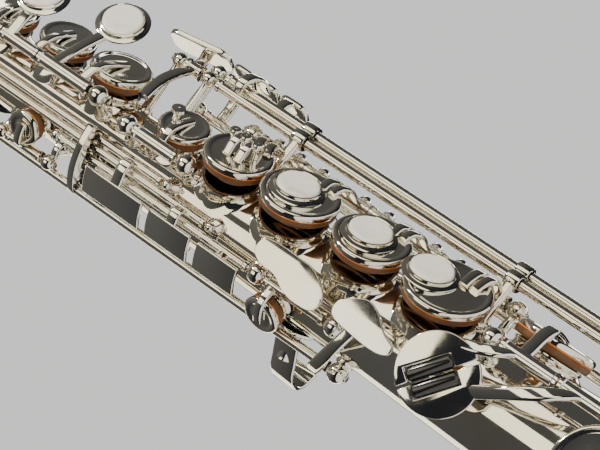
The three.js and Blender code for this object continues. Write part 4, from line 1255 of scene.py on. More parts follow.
@dataclass
class StackKeys:
    """Finger keys of both stacks, with the steel rods that they turn on."""

    lower: dict[str, tuple[float, float, float, float | None]] = field(default_factory=lambda: {
        "f_sharp": (344, 361.8, 355.2, None),
        "f": (317.6, 343.6, 326.7, 1.7),
        "e": (289.4, 317.2, 299.0, 1.4),
        "d": (264, 289, 270.5, 6.8),
    })
    upper: dict[
        str, tuple[float, float, float, Vector | None, float],
    ] = field(default_factory=lambda: {
        "g": (408, 429.4, 413, Vector((18.2, -22.7, 418.6)), 423.5),
        "a": (430, 445.4, 433, Vector((8.8, -24.6, 444.6)), 442.6),
        "bis": (446, 457.4, 452, None, 0),
        "b": (458, 481.4, 474, Vector((6.5, -24.6, 465)), 463),
        "c_vent": (482, 496.8, 490, None, 0),
    })

    def build(self, bench: Bench) -> None:
        """Makes both stacks and their rods.

        Args:
            bench: Where they are made.
        """
        for name, line, low, high in (
            ("lower", Line.LOWER_STACK.value, 257.2, 369),
            ("upper", Line.UPPER_STACK.value, 401, 504),
        ):
            rod = bench.turn([
                (0, low), (ROD_RADIUS - 0.2, low), (ROD_RADIUS, low + 0.3),
                (ROD_RADIUS, high - 0.3), (ROD_RADIUS - 0.2, high), (0, high),
            ], 20)
            bench.place(rod, Matrix.Translation(polar(line.rho, line.phi, 0)))
            bench.finish(rod, f"{name}_pivot_rod", "body", STEEL, f"{name}_stack_rod")
        for note, sizes in self.lower.items():
            self.lower_key(bench, note, *sizes)
        for note, sizes in self.upper.items():
            self.upper_key(bench, note, *sizes)

    def lower_key(
        self, bench: Bench, note: str, bottom: float, top: float, arm: float, shift: float | None,
    ) -> None:
        """Makes one right hand key, with its double arm and, where it has one, its pearl.

        Args:
            bench: Where it is made.
            note: The note that names the key.
            bottom: Lower end of its hinge tube.
            top: Upper end of its hinge tube.
            arm: Height of its main arm.
            shift: How far its pearl stands up the tube from the cup's middle, if it has one.
        """
        hole = HOLES[note]
        line = Line.LOWER_STACK.value
        key = f"{note}_key"
        turn = swing(line, STANDING_OPEN["lower"])
        parts = [KeyCup(note, hole, line, key, STANDING_OPEN["lower"]).make(bench)]
        parts.append(
            bench.place(bench.hinge_tube(line, bottom, top, STACK_TUBE_RADIUS, TUBE_BORE), turn),
        )
        low = -0.28 if note == "d" else -0.52
        for offset, width, past, land in ((0.0, 3.4, low, -2.5), (-4.4, 3.2, low - 0.06, -6.0)):
            height = max(arm + offset, bottom + 2.4)
            parts.append(
                bench.place(bench.cup_arm(hole, line, height, width, past, hole.z + land), turn),
            )
        if shift is None:
            parts += self.bridge(bench, hole, turn)
        else:
            seat = outward(hole.phi) * (rim_plane(hole) + CUP_TOP - 1.7) + UP * (hole.z + shift)
            parts.append(Pearl(note, key, seat, outward(hole.phi)).make(bench, turn))
        for z in (bottom + 4.5, top - 4.5):
            parts.append(self.lug(bench, line, z))
        piece = bench.fuse(parts)
        bench.finish(piece, f"{note}_key_silver", key, KEY_SILVER, key, f"{note}_pad", smooth=40)

    def lug(self, bench: Bench, line: HingeLine, z: float) -> bpy.types.Object:
        """Small adjusting lug with its screw, standing off a hinge tube.

        Args:
            bench: Where it is made.
            line: The hinge line of the tube.
            z: Its height.

        Returns:
            The lug in place.
        """
        lug = bench.turn([
            (0, 1.8), (1.9, 1.8), (2.1, 2.3), (2.1, 4.0),
            (1.7, 4.5), (1.0, 4.6), (1.0, 5.6), (0, 5.7),
        ], 16)
        away = outward(line.phi - 40)
        return bench.place(lug, facing(polar(line.rho, line.phi, z), away))

    def bridge(self, bench: Bench, hole: ToneHole, turn: Matrix) -> list[bpy.types.Object]:
        """Adjusting bridge with two screws that links the closed-standing cup to its neighbours.

        Args:
            bench: Where it is made.
            hole: The tone hole of the cup.
            turn: The turn that the key rests at.

        Returns:
            The straps and screws in place.
        """
        out = outward(hole.phi)
        top = rim_plane(hole) + CUP_TOP
        side = outward(hole.phi + 90)
        parts = []
        for shift, rise in ((-2.8, 3.4), (1.6, 4.0)):
            points = [
                out * (top - 0.4) - side * 7.0 + UP * (hole.z + shift),
                out * (top + rise) - side * 3.4 + UP * (hole.z + shift),
                out * (top + rise) + side * 0.6 + UP * (hole.z + shift + 0.5),
                out * (top - 0.3) + side * 3.4 + UP * (hole.z + shift + 0.8),
            ]
            parts.append(bench.place(bench.strap(points, 3.0, 1.3), turn))
        for shift in (-4.4, 0.4, 4.6):
            screw = bench.turn([
                (0, 0), (1.1, 0), (1.1, 3.4), (1.7, 3.7), (1.9, 4.2), (1.9, 5.2), (1.6, 5.6),
                (0.35, 5.7), (0.3, 5.2), (0, 5.2),
            ], 20)
            bench.place(
                screw, turn, facing(out * (top - 0.2) - side * 2.0 + UP * (hole.z + shift), out),
            )
            parts.append(screw)
        return parts

    def upper_key(
        self, bench: Bench, note: str, bottom: float, top: float, arm: float,
        pearl_at: Vector | None, pearl_arm: float,
    ) -> None:
        """Makes one left hand key, whose pearl stands on an arm of its own.

        Args:
            bench: Where it is made.
            note: The note that names the key.
            bottom: Lower end of its hinge tube.
            top: Upper end of its hinge tube.
            arm: Height of the cup's arm.
            pearl_at: Place of the pearl's holder with the key closed, if it has one.
            pearl_arm: Height at which the pearl's arm leaves the tube.
        """
        hole = HOLES[note]
        line = Line.UPPER_STACK.value
        key = f"{note}_key"
        opened = STANDING_OPEN["upper"]
        turn = swing(line, opened)
        replaced = [key]
        parts = [KeyCup(note, hole, line, key, opened).make(bench)]
        parts.append(bench.hinge_tube(line, bottom, top, STACK_TUBE_RADIUS, TUBE_BORE))
        parts.append(bench.place(bench.cup_arm(hole, line, arm, 3.0, 0.2, hole.z), turn))
        if pearl_at is not None:
            face = outward(-7 - opened)
            start = polar(line.rho + 1.4, line.phi, pearl_arm)
            under = pearl_at + face * 0.4
            rise = start.lerp(under, 0.45) + face * 0.9
            parts.append(bench.place(bench.strap([start, rise, under], 4.0, 1.8), turn))
            parts.append(Pearl(note, key, pearl_at, face).make(bench, turn))
        if note == "g":
            replaced.append("g_pad")
        bench.finish(bench.fuse(parts), f"{note}_key_silver", key, KEY_SILVER, *replaced, smooth=40)


@dataclass
class LongKeys:
    """Low B, low B flat and low C sharp keys, with their tubes and left hand touches."""

    tube: float = 1.9

    def touch(
        self, bench: Bench, width: float, height: float, rho: float, phi: float, z: float,
        tilt: float = 0.0,
    ) -> bpy.types.Object:
        """Rounded touch plate that faces outward at an angle.

        Args:
            bench: Where it is made.
            width: Its size round the tube.
            height: Its size up the tube.
            rho: Distance of its underside from the tube's axis.
            phi: Angle that it faces.
            z: Height of its middle.
            tilt: Degrees that its face leans towards the bell.

        Returns:
            The plate in place.
        """
        corner = min(width, height) * 0.32
        outline = []
        for x, y, start in ((1, -1, -90), (1, 1, 0), (-1, 1, 90), (-1, -1, 180)):
            for step in range(7):
                angle = math.radians(start + 15 * step)
                outline.append((
                    x * (width / 2 - corner) + corner * math.cos(angle),
                    y * (height / 2 - corner) + corner * math.sin(angle),
                ))
        plate = bench.plate(outline, 1.8, 0.4)
        return bench.place(plate, plate_frame(polar(rho, phi, z), phi, tilt))

    def build(self, bench: Bench) -> None:
        """Makes the three keys and the G sharp pair above them.

        Args:
            bench: Where they are made.
        """
        low_b = Line.LOW_B.value
        low_b_flat = Line.LOW_B_FLAT.value
        low_c_sharp = Line.LOW_C_SHARP.value
        self.key(bench, "low_b", low_b, (125.2, 383.4), STANDING_OPEN["low_b"], [
            bench.strap([
                polar(33, -50, 377), polar(38.5, -47.6, 376), polar(42.4, -56, 375),
                polar(42.8, -66, 374),
            ], 4, 2),
            self.touch(bench, 13, 9, LEFT_TOUCH_REACH, LEFT_TOUCH_ANGLE, 374),
        ])
        self.key(bench, "low_b_flat", low_b_flat, (85.8, 383.4), STANDING_OPEN["low_b"], [
            bench.strap([polar(36.7, -55, 363), polar(41, -58, 363), polar(42.6, -67, 363)], 4, 2),
            self.touch(bench, 13, 11, LEFT_TOUCH_REACH, LEFT_TOUCH_ANGLE, 363),
        ])
        self.key(bench, "low_c_sharp", low_c_sharp, (162.4, 389.2), 0.0, [
            bench.strap([polar(29, -85, 384), polar(35, -80, 384), polar(41.6, -70, 384)], 4, 2),
            self.touch(bench, 13, 8.4, LEFT_TOUCH_REACH, LEFT_TOUCH_ANGLE, 384),
        ])
        self.g_sharp(bench)

    def key(
        self, bench: Bench, name: str, line: HingeLine, span: tuple[float, float], opened: float,
        touches: list[bpy.types.Object],
    ) -> None:
        """Makes one bell key: cup, arm, long tube and touch.

        Args:
            bench: Where it is made.
            name: The note that names the key.
            line: Its hinge line.
            span: Lower and upper end of its long tube.
            opened: Degrees that its cup stands open at rest.
            touches: The arm and plate that the finger presses.
        """
        hole = HOLES[name]
        key = f"{name}_key"
        turn = swing(line, opened)
        parts = [KeyCup(name, hole, line, key, opened).make(bench)]
        parts.append(bench.hinge_tube(line, *span, self.tube))
        parts.append(bench.place(bench.cup_arm(hole, line, hole.z, 4.6, 0.35, hole.z), turn))
        boss = bench.turn([(0, 0), (4.2, 0.2), (3.6, 1.3), (1.8, 1.9), (0, 2.0)], 32)
        out = outward(hole.phi)
        bench.place(boss, turn, facing(out * (rim_plane(hole) + CUP_TOP - 0.4) + UP * hole.z, out))
        bench.finish(
            bench.fuse([*parts, boss, *touches]), f"{name}_key_silver", key, KEY_SILVER, key,
            smooth=40,
        )

    def g_sharp(self, bench: Bench) -> None:
        """Makes the G sharp cup key and the lever that frees it.

        Args:
            bench: Where they are made.
        """
        line = Line.G_SHARP.value
        hole = HOLES["g_sharp"]
        parts = [
            KeyCup("g_sharp", hole, line, "g_sharp_key").make(bench),
            bench.hinge_tube(line, 369, 386, STACK_TUBE_RADIUS),
            bench.cup_arm(hole, line, 377, 3.2, 0.35, 377),
        ]
        screw = bench.turn([
            (0, 0), (1.5, 0), (1.5, 2.6), (2.3, 3.0), (2.3, 4.2), (0.4, 4.4), (0.35, 3.9), (0, 3.9),
        ], 24)
        out = outward(hole.phi)
        parts.append(
            bench.place(screw, facing(out * (rim_plane(hole) + CUP_TOP) + UP * 380.6, out)),
        )
        bench.finish(
            bench.fuse(parts), "g_sharp_key_silver", "g_sharp_key", KEY_SILVER, "g_sharp_key",
            smooth=40,
        )
        low_b = Line.LOW_B.value
        lever = [
            bench.hinge_tube(low_b, 390.4, 396.8, STACK_TUBE_RADIUS),
            bench.strap([
                polar(32.9, -50, 394), polar(29, -32, 393.6), polar(27.5, -12, 392.4),
                polar(27, 6, 391),
            ], 4.2, 2),
            bench.strap([polar(33, -50, 394.4), polar(37, -56, 395), polar(41, -60, 397)], 4, 2),
            self.touch(bench, 12, 23, 40.4, -62, 400, -8),
        ]
        bench.finish(
            bench.fuse(lever), "g_sharp_lever_silver", "g_sharp_lever", KEY_SILVER, "g_sharp_lever",
            smooth=40,
        )


def plate_frame(centre: Vector, phi: float, tilt: float = 0.0) -> Matrix:
    """Frame of a flat touch: across the tube, up it and out of its face, leaned towards the bell.

    Args:
        centre: Middle of the touch's underside.
        phi: Angle round the tube that it faces.
        tilt: Degrees that its face leans towards the bell.

    Returns:
        The frame as a matrix.
    """
    lean = math.radians(tilt)
    face = outward(phi) * math.cos(lean) - UP * math.sin(lean)
    across = UP.cross(face).normalized()
    upward = face.cross(across)
    turn = Matrix((across, upward, face)).transposed().to_4x4()
    return Matrix.Translation(centre) @ turn


@dataclass
class LittleFingerKeys:
    """Right little finger's E flat and low C keys, whose round touch is split by two rollers."""

    centre: tuple[float, float, float] = (27.1, 48.5, 258.2)
    face: float = 54.0
    tilt: float = 12.0
    slope: float = -40.5
    radius: float = 12.8
    split: float = 0.5
    window: tuple[float, float] = (-9.0, 5.8)
    reach: float = 4.9
    roller_radius: float = 2.3

    def frame(self) -> Matrix:
        """Frame of the round touch, with its first axis along the rollers."""
        turned = Matrix.Rotation(math.radians(self.slope), 4, "Z")
        return plate_frame(polar(*self.centre), self.face, self.tilt) @ turned

    def half(self, bench: Bench, side: int) -> bpy.types.Object:
        """Half of the round touch, above or below the split, cut out for its roller.

        Args:
            bench: Where it is made.
            side: 1 for the upper half, -1 for the lower.

        Returns:
            The half in place.
        """
        left, right = self.window
        start = math.asin(self.split / self.radius)
        outline = [(left, side * self.split)]
        for step in range(33):
            angle = math.pi - start - (math.pi - 2 * start) * step / 32
            outline.append((self.radius * math.cos(angle), side * self.radius * math.sin(angle)))
        outline += [
            (right, side * self.split), (right, side * self.reach), (left, side * self.reach),
        ]
        plate = bench.plate(outline, 1.8, 0.3)
        return bench.place(plate, self.frame(), Matrix.Translation((0, 0, -0.9)))

    def roller(self, bench: Bench, name: str, offset: float) -> None:
        """Makes one black roller with rounded ends on a steel pin.

        Args:
            bench: Where it is made.
            name: Its name.
            offset: How far from the split it lies.
        """
        left, right = self.window
        length = right - left - 2 * GAP
        radius = self.roller_radius
        barrel = bench.turn([
            (0, 0), (radius - 0.5, 0), (radius - 0.12, 0.25), (radius, 0.8), (radius, length - 0.8),
            (radius - 0.12, length - 0.25), (radius - 0.5, length), (0, length),
        ], 40)
        lay = Matrix.Rotation(math.radians(90), 4, "Y")
        start = Matrix.Translation((left + GAP, offset, -0.5))
        bench.place(barrel, self.frame(), start, lay)
        bench.finish(barrel, f"{name}_barrel", name, EBONITE, name, smooth=50)

    def build(self, bench: Bench) -> None:
        """Makes both keys and both rollers.

        Args:
            bench: Where they are made.
        """
        line = Line.LITTLE_FINGER.value
        touch = self.frame()
        e_flat = HOLES["e_flat"]
        parts = [
            KeyCup("e_flat", e_flat, line, "e_flat_key").make(bench),
            bench.hinge_tube(line, 228.8, 248.6, STACK_TUBE_RADIUS),
            bench.cup_arm(e_flat, line, 242, 4.4, 0.3, 242.4),
            bench.strap([
                polar(27, 10, 244), polar(29.5, 17, 246), polar(29.8, 23, 251.5),
                touch @ Vector((9.6, 6, -0.4)),
            ], 4, 2),
            self.half(bench, 1),
        ]
        bench.finish(
            bench.fuse(parts), "e_flat_key_silver", "e_flat_key", KEY_SILVER, "e_flat_key",
            smooth=40,
        )
        low_c = HOLES["low_c"]
        opened = swing(line, STANDING_OPEN["low_c"])
        parts = [
            KeyCup("low_c", low_c, line, "low_c_key", STANDING_OPEN["low_c"]).make(bench),
            bench.hinge_tube(line, 189.6, 228, STACK_TUBE_RADIUS),
            bench.place(bench.cup_arm(low_c, line, 203, 5, 0.3, 203), opened),
            bench.strap([
                polar(27, 10, 221), polar(30, 17, 223), polar(30.6, 29, 232),
                touch @ Vector((7, -7.5, -0.4)),
            ], 4.4, 2),
            self.half(bench, -1),
        ]
        bench.finish(
            bench.fuse(parts), "low_c_key_silver", "low_c_key", KEY_SILVER, "low_c_key", smooth=40,
        )
        self.roller(bench, "e_flat_roller", 2.5)
        self.roller(bench, "low_c_roller", -2.5)


@dataclass
class FlatTouchKeys:
    """F sharp trill key and high F sharp key, with their flat teardrop touches."""

    trill_outline: list[tuple[float, float]] = field(default_factory=lambda: [
        (0.3, 12.6), (4.6, 12), (5.8, 8), (5.7, -1), (5.2, -6.5), (1.5, -12.1),
        (-2, -14), (-5.6, -12.4), (-6.4, -7), (-5.6, -2), (-2.8, 3.4), (-2.3, 9),
    ])
    high_outline: list[tuple[float, float]] = field(default_factory=lambda: [
        (-2.4, 9.8), (1.4, 10.3), (4.8, 6.5), (6.8, 2.3), (5.6, -1.8),
        (1.6, -6.6), (-0.6, -11.4), (-3, -11.8), (-4.7, -8.8), (-4.4, 2),
    ])

    def smooth(
        self, corners: list[tuple[float, float]], samples: int = 6,
    ) -> list[tuple[float, float]]:
        """Closed curve through the corners of an outline.

        Args:
            corners: Corners of the outline, in order.
            samples: Points between one corner and the next.

        Returns:
            Points of the curve.
        """
        count = len(corners)
        points = []
        for index in range(count):
            before, start, end, after = (
                Vector(corners[(index + step) % count])
                for step in (-1, 0, 1, 2)
            )
            knots = [0.0]
            for first, second in ((before, start), (start, end), (end, after)):
                knots.append(knots[-1] + math.sqrt((second - first).length))
            for sample in range(samples):
                at = knots[1] + (knots[2] - knots[1]) * sample / samples
                a1 = before.lerp(start, (at - knots[0]) / (knots[1] - knots[0]))
                a2 = start.lerp(end, (at - knots[1]) / (knots[2] - knots[1]))
                a3 = end.lerp(after, (at - knots[2]) / (knots[3] - knots[2]))
                b1 = a1.lerp(a2, (at - knots[0]) / (knots[2] - knots[0]))
                b2 = a2.lerp(a3, (at - knots[1]) / (knots[3] - knots[1]))
                point = b1.lerp(b2, (at - knots[1]) / (knots[2] - knots[1]))
                points.append((point.x, point.y))
        return points

    def touch(
        self, bench: Bench, outline: list[tuple[float, float]], centre: Vector,
    ) -> bpy.types.Object:
        """Flat touch with rounded edges, facing the right hand."""
        plate = bench.plate(self.smooth(outline), 1.4, 0.22)
        return bench.place(plate, plate_frame(centre, 50, 4))

    def build(self, bench: Bench) -> None:
        """Makes both keys.

        Args:
            bench: Where they are made.
        """
        line = Line.TRILL.value
        parts = [
            KeyCup("trill", HOLES["trill"], line, "f_sharp_trill_key").make(bench),
            bench.hinge_tube(line, 300.6, 323.4, SHORT_TUBE_RADIUS),
            bench.strap([
                polar(19.6, 70, 320), polar(24, 82, 320), polar(24.6, 92, 320),
                polar(24.4, 100, 320),
            ], 3, 1.5),
            bench.strap([polar(19.6, 70, 312), polar(22.6, 64, 313), polar(24.3, 56, 314)], 4, 1.8),
            self.touch(bench, self.trill_outline, polar(24.6, 50, 315.5)),
        ]
        bench.finish(
            bench.fuse(parts), "trill_key_silver", "f_sharp_trill_key", KEY_SILVER,
            "f_sharp_trill_key", smooth=40,
        )
        line = Line.HIGH_F_SHARP.value
        parts = [
            KeyCup("high_f_sharp", HOLES["high_f_sharp"], line, "high_f_sharp_key").make(bench),
            bench.hinge_tube(line, 297, 565.4, CUP_TUBE_RADIUS),
            bench.cup_arm(HOLES["high_f_sharp"], line, 561, 3, 0.3, 561),
            bench.strap([
                polar(20.6, 125, 299.4), polar(24.6, 110, 298), polar(26.4, 84, 293),
                polar(25.6, 54, 288),
            ], 4, 1.7),
            self.touch(bench, self.high_outline, polar(26, 49.4, 286)),
        ]
        bench.finish(
            bench.fuse(parts), "high_f_sharp_key_silver", "high_f_sharp_key", KEY_SILVER,
            "high_f_sharp_key", smooth=40,
        )


@dataclass
class SideKeys:
    """Three side touches with their rods, their cups and the saddle that guides the rods."""

    arc: tuple[float, float] = (72.0, 98.0)
    inner: float = 21.8
    outer: float = 23.2
    guide: float = 399.0

    def tile(self, bench: Bench, bottom: float, top: float) -> bpy.types.Object:
        """Curved touch with rounded edges, wrapped round the tube.

        Args:
            bench: Where it is made.
            bottom: Its lower end.
            top: Its upper end.

        Returns:
            The touch in place.
        """
        steps = 16
        outline = []
        for radius, order in ((self.outer, range(steps + 1)), (self.inner, range(steps, -1, -1))):
            for step in order:
                point = polar(radius, self.arc[0] + (self.arc[1] - self.arc[0]) * step / steps, 0)
                outline.append((point.x, point.y))
        plate = bench.plate(outline, top - bottom, 0.45)
        return bench.place(plate, Matrix.Translation((0, 0, bottom)))

    def build(self, bench: Bench) -> None:
        """Makes the touches, rods, cups and guide.

        Args:
            bench: Where they are made.
        """
        touches = {
            "side_e_key": (Line.SIDE_E.value, 371.0, 394.6, 539.8),
            "side_c_lever": (Line.SIDE_C.value, 351.0, 368.0, 465.6),
            "side_b_flat_lever": (Line.SIDE_B_FLAT.value, 331.8, 348.0, 409.8),
        }
        for name, (line, bottom, top, rod_top) in touches.items():
            middle = (bottom + top) / 2
            parts = [
                self.tile(bench, bottom, top),
                bench.hinge_tube(line, bottom - 0.4, rod_top, SIDE_ROD_RADIUS),
                bench.strap([
                    polar(line.rho, line.phi, middle), polar(21.3, line.phi + 2, middle),
                    polar(22.4, 74, middle),
                ], 4, 1.4),
            ]
            if name == "side_e_key":
                parts.append(KeyCup("side_e", HOLES["side_e"], line, name).make(bench))
                parts.append(bench.cup_arm(HOLES["side_e"], line, 536, 3, 0.3, 536))
            else:
                end = rod_top - 2
                parts.append(bench.strap([
                    polar(18.3, line.phi, end), polar(21.4, line.phi + 5, end),
                    polar(22.4, 84, end),
                ], 2.6, 1.4))
            bench.finish(bench.fuse(parts), f"{name}_silver", name, KEY_SILVER, name, smooth=40)
        for note, bottom, top in (("side_b_flat", 416.2, 430.8), ("side_c", 470.8, 484.2)):
            name = f"{note}_key"
            line = Line.SIDE_CUPS.value
            parts = [
                KeyCup(note, HOLES[note], line, name).make(bench),
                bench.hinge_tube(line, bottom, top, CUP_TUBE_RADIUS),
                bench.cup_arm(HOLES[note], line, HOLES[note].z, 3, 0.3, HOLES[note].z),
            ]
            bench.finish(bench.fuse(parts), f"{name}_silver", name, KEY_SILVER, name, smooth=40)
        self.saddle(bench)

    def saddle(self, bench: Bench) -> None:
        """Makes the bored saddle plate below the upper stack.

        Args:
            bench: Where it is made.
        """
        steps = 20
        low, high = 42.0, 106.0
        base = tube_radius(self.guide) + GAP + 0.3
        outline = []
        for radius, order in ((24.0, range(steps + 1)), (base, range(steps, -1, -1))):
            for step in order:
                point = polar(radius, low + (high - low) * step / steps, 0)
                outline.append((point.x, point.y))
        plate = bench.plate(outline, 2.6, 0.25)
        bench.place(plate, Matrix.Translation((0, 0, self.guide - 1.3)))
        for line in (Line.SIDE_E.value, Line.SIDE_C.value, Line.SIDE_B_FLAT.value):
            bench.clear_selection()
            bpy.ops.mesh.primitive_cylinder_add(vertices=32, radius=1.75, depth=8)
            bench.cut(
                plate,
                bench.place(
                    bpy.context.object, Matrix.Translation(polar(line.rho, line.phi, self.guide)),
                ),
            )
        bench.finish(plate, "side_rod_saddle", "body", KEY_SILVER, "side_key_guide")


@dataclass
class PalmKeys:
    """Left palm keys on short rods high on the player's left."""

    sizes: dict[str, tuple[float, float, float]] = field(default_factory=lambda: {
        "palm_d": (488.4, 506.6, 493), "palm_e_flat": (514.2, 525.2, 517),
        "palm_f": (532.8, 552.2, 538),
    })

    def touch(self, bench: Bench, z: float) -> bpy.types.Object:
        """Domed oval touch for the palm.

        Args:
            bench: Where it is made.
            z: Height of its middle.

        Returns:
            The touch in place.
        """
        dome = bench.turn([
            (0, 0), (5.2, 0), (5.9, 0.5), (6.0, 1.1), (5.4, 1.9), (3.6, 2.6), (0, 3.0),
        ], 40)
        oval = Matrix.Diagonal((0.92, 1.42, 1.0, 1.0))
        return bench.place(dome, plate_frame(polar(24, -108, z), -112), oval)

    def build(self, bench: Bench) -> None:
        """Makes the three palm keys.

        Args:
            bench: Where they are made.
        """
        line = Line.PALM.value
        for note, (bottom, top, touch) in self.sizes.items():
            hole = HOLES[note]
            name = f"{note}_key"
            parts = [
                KeyCup(note, hole, line, name).make(bench),
                bench.hinge_tube(line, bottom, top, SHORT_TUBE_RADIUS),
                bench.cup_arm(hole, line, min(hole.z, top - 2), 3, 0.3, hole.z),
                bench.strap([
                    polar(19, -80, touch), polar(22.4, -88, touch), polar(24.4, -102, touch),
                ], 4, 1.8),
                self.touch(bench, touch),
            ]
            bench.finish(bench.fuse(parts), f"{name}_silver", name, KEY_SILVER, name, smooth=45)


@dataclass
class OctaveMechanism:
    """Thumb lever and the two pip keys on the back."""

    def build(self, bench: Bench) -> None:
        """Makes the lever and both pip keys.

        Args:
            bench: Where they are made.
        """
        line = Line.OCTAVE.value
        pad = bench.turn([
            (0, 0), (5.6, 0), (6.2, 0.4), (6.3, 1.0), (5.6, 1.8), (3.0, 2.2), (0, 2.3),
        ], 40)
        bench.place(
            pad, plate_frame(polar(19, -178, 478), 180), Matrix.Diagonal((0.95, 1.2, 0.85, 1)),
        )
        parts = [
            bench.hinge_tube(line, 466.2, 498, SHORT_TUBE_RADIUS),
            bench.strap([
                polar(17, -150, 478), polar(19, -160, 478), polar(19.6, -174, 478),
            ], 6, 1.8),
            pad,
            bench.strap([polar(17, -150, 494), polar(20, -141, 494), polar(21, -134, 494)], 3, 1.6),
        ]
        bench.finish(
            bench.fuse(parts), "octave_lever_silver", "octave_lever", KEY_SILVER, "octave_lever",
            smooth=45,
        )
        for name, z, bottom, top in (
            ("octave_key_lower", PIP_HEIGHTS[0], 505.4, 527.8),
            ("octave_key_upper", PIP_HEIGHTS[1], 535.4, 574.4),
        ):
            seat = tube_radius(z) + PIP_REACH + GAP
            cup = bench.turn([
                (0, 0.7), (3.0, 0.7), (3.1, 1.0), (3.1, 2.1), (2.6, 2.6), (0, 2.6),
            ], 36)
            bench.place(cup, facing(polar(seat, PIP_ANGLE, z), outward(PIP_ANGLE)))
            pad = bench.turn([(0, 0), (2.5, 0), (2.7, 0.2), (2.7, 0.65), (0, 0.65)], 32)
            bench.place(pad, facing(polar(seat, PIP_ANGLE, z), outward(PIP_ANGLE)))
            bench.finish(pad, f"{name}_pad_cork", name, CORK)
            parts = [
                cup,
                bench.hinge_tube(line, bottom, top, SHORT_TUBE_RADIUS),
                bench.strap([
                    polar(17, -150, z), polar(17.6, -165, z), polar(seat + 2.6, PIP_ANGLE, z),
                ], 3, 1.5),
            ]
            bench.finish(bench.fuse(parts), f"{name}_silver", name, KEY_SILVER, name, smooth=45)


@dataclass
class Fittings:
    """Thumb hook, thumb rest and strap ring behind the tube."""

    hook_z: float = 316.0
    rest_z: float = 449.0
    ring_z: float = 372.0

    def build(self, bench: Bench) -> None:
        """Makes the three fittings.

        Args:
            bench: Where they are made.
        """
        z = self.hook_z
        base = tube_radius(z)
        foot = bench.turn([(0, 0), (6.9, 0), (6.9, 0.9), (6.3, 1.4), (0, 1.5)], 48)
        bench.place(foot, facing(polar(base + GAP + 0.3, 156, z), outward(156)))
        stem = bench.turn([(0, 0), (2.6, 0), (2.2, 1.5), (2.2, 9.4), (2.6, 11.6), (0, 11.6)], 28)
        bench.place(stem, facing(polar(base + 1, 156, z), outward(156)))
        bar = bench.strap([
            polar(20.5, 146, z), polar(28, 156, z), polar(36, 163, z), polar(41, 174, z),
            polar(40, 184, z),
        ], 9, 1.5)
        bench.finish(
            bench.fuse([bar, foot, stem]), "thumb_hook_silver", "body", KEY_SILVER, "thumb_hook",
        )
        rest = bench.turn([
            (0, 0), (6.6, 0), (6.8, 0.4), (6.8, 1.4), (6.2, 2.2), (4.4, 2.8), (0, 2.9),
        ], 48)
        bench.place(
            rest,
            facing(polar(tube_radius(self.rest_z) + GAP + 0.3, 180, self.rest_z), outward(180)),
        )
        bench.finish(rest, "thumb_rest_button", "body", EBONITE, "thumb_rest", smooth=50)
        section = [
            (4.9 + 0.75 * math.cos(math.tau * step / 10), 0.95 * math.sin(math.tau * step / 10))
            for step in range(11)
        ]
        ring = bench.turn(section, 48)
        bench.place(
            ring, facing(polar(tube_radius(self.ring_z) + 8, 180, self.ring_z), outward(90)),
        )
        foot = bench.turn([(0, 0), (3.4, 0), (3.4, 0.8), (2.4, 1.5), (1.9, 3.0), (0, 3.2)], 32)
        bench.place(
            foot, facing(polar(tube_radius(self.ring_z) + 0.4, 180, self.ring_z), outward(180)),
        )
        bench.finish(
            bench.fuse([ring, foot]), "strap_ring_silver", "body", KEY_SILVER, "strap_ring",
            smooth=50,
        )


@dataclass
class SmallHardware:
    """Pivot screws, needle springs and stop tabs that finish the keywork."""

    def build(self, bench: Bench, posts: dict[Line, tuple[float, ...]]) -> None:
        """Makes pivot screws in the end posts, and stop tabs, felts and needle springs below.

        Args:
            bench: Where they are made.
            posts: Heights of the posts on each hinge line.
        """
        for line, heights in posts.items():
            if line in SLIM_LINES:
                continue
            ball = post_ball(line)
            for index, z in enumerate((min(heights), max(heights))):
                way = -1 if index == 0 else 1
                head = bench.turn([
                    (0, ball - 0.9), (1.25, ball - 0.9), (1.25, ball + 0.15), (1.0, ball + 0.35),
                    (0.25, ball + 0.38), (0.22, ball + 0.1), (0, ball + 0.1),
                ], 18)
                bench.place(head, facing(polar(line.value.rho, line.value.phi, z), UP * way))
                bench.finish(head, f"pivot_screw_{line.name.lower()}_{index}", "body", STEEL)
        for index, z in enumerate((318.4, 289.2, 262.6)):
            stand = bench.strap([
                polar(tube_radius(z) - 0.2, -82, z), polar(23.0, -80, z), polar(27.4, -74, z),
            ], 3.4, 1.4)
            felt = bench.turn([(0, 0), (2.2, 0), (2.4, 0.4), (2.4, 1.7), (2.1, 2.0), (0, 2.0)], 24)
            bench.place(felt, facing(polar(27.8, -74, z), outward(-30)))
            bench.finish(stand, f"stop_tab_{index}", "body", KEY_SILVER)
            bench.finish(felt, f"stop_felt_{index}", "body", BLACK_FELT)
        for index, z in enumerate((346.5, 322.0, 294.0, 267.5)):
            needle = bench.strap([
                polar(tube_radius(z) + 0.5, -58, z - 3), polar(19.5, -52, z + 4),
                polar(21.0, -46, z + 11),
            ], 0.5, 0.45)
            bench.finish(needle, f"needle_spring_{index}", "body", BLUED_STEEL)


# ------------------------------------------------------------------ studio


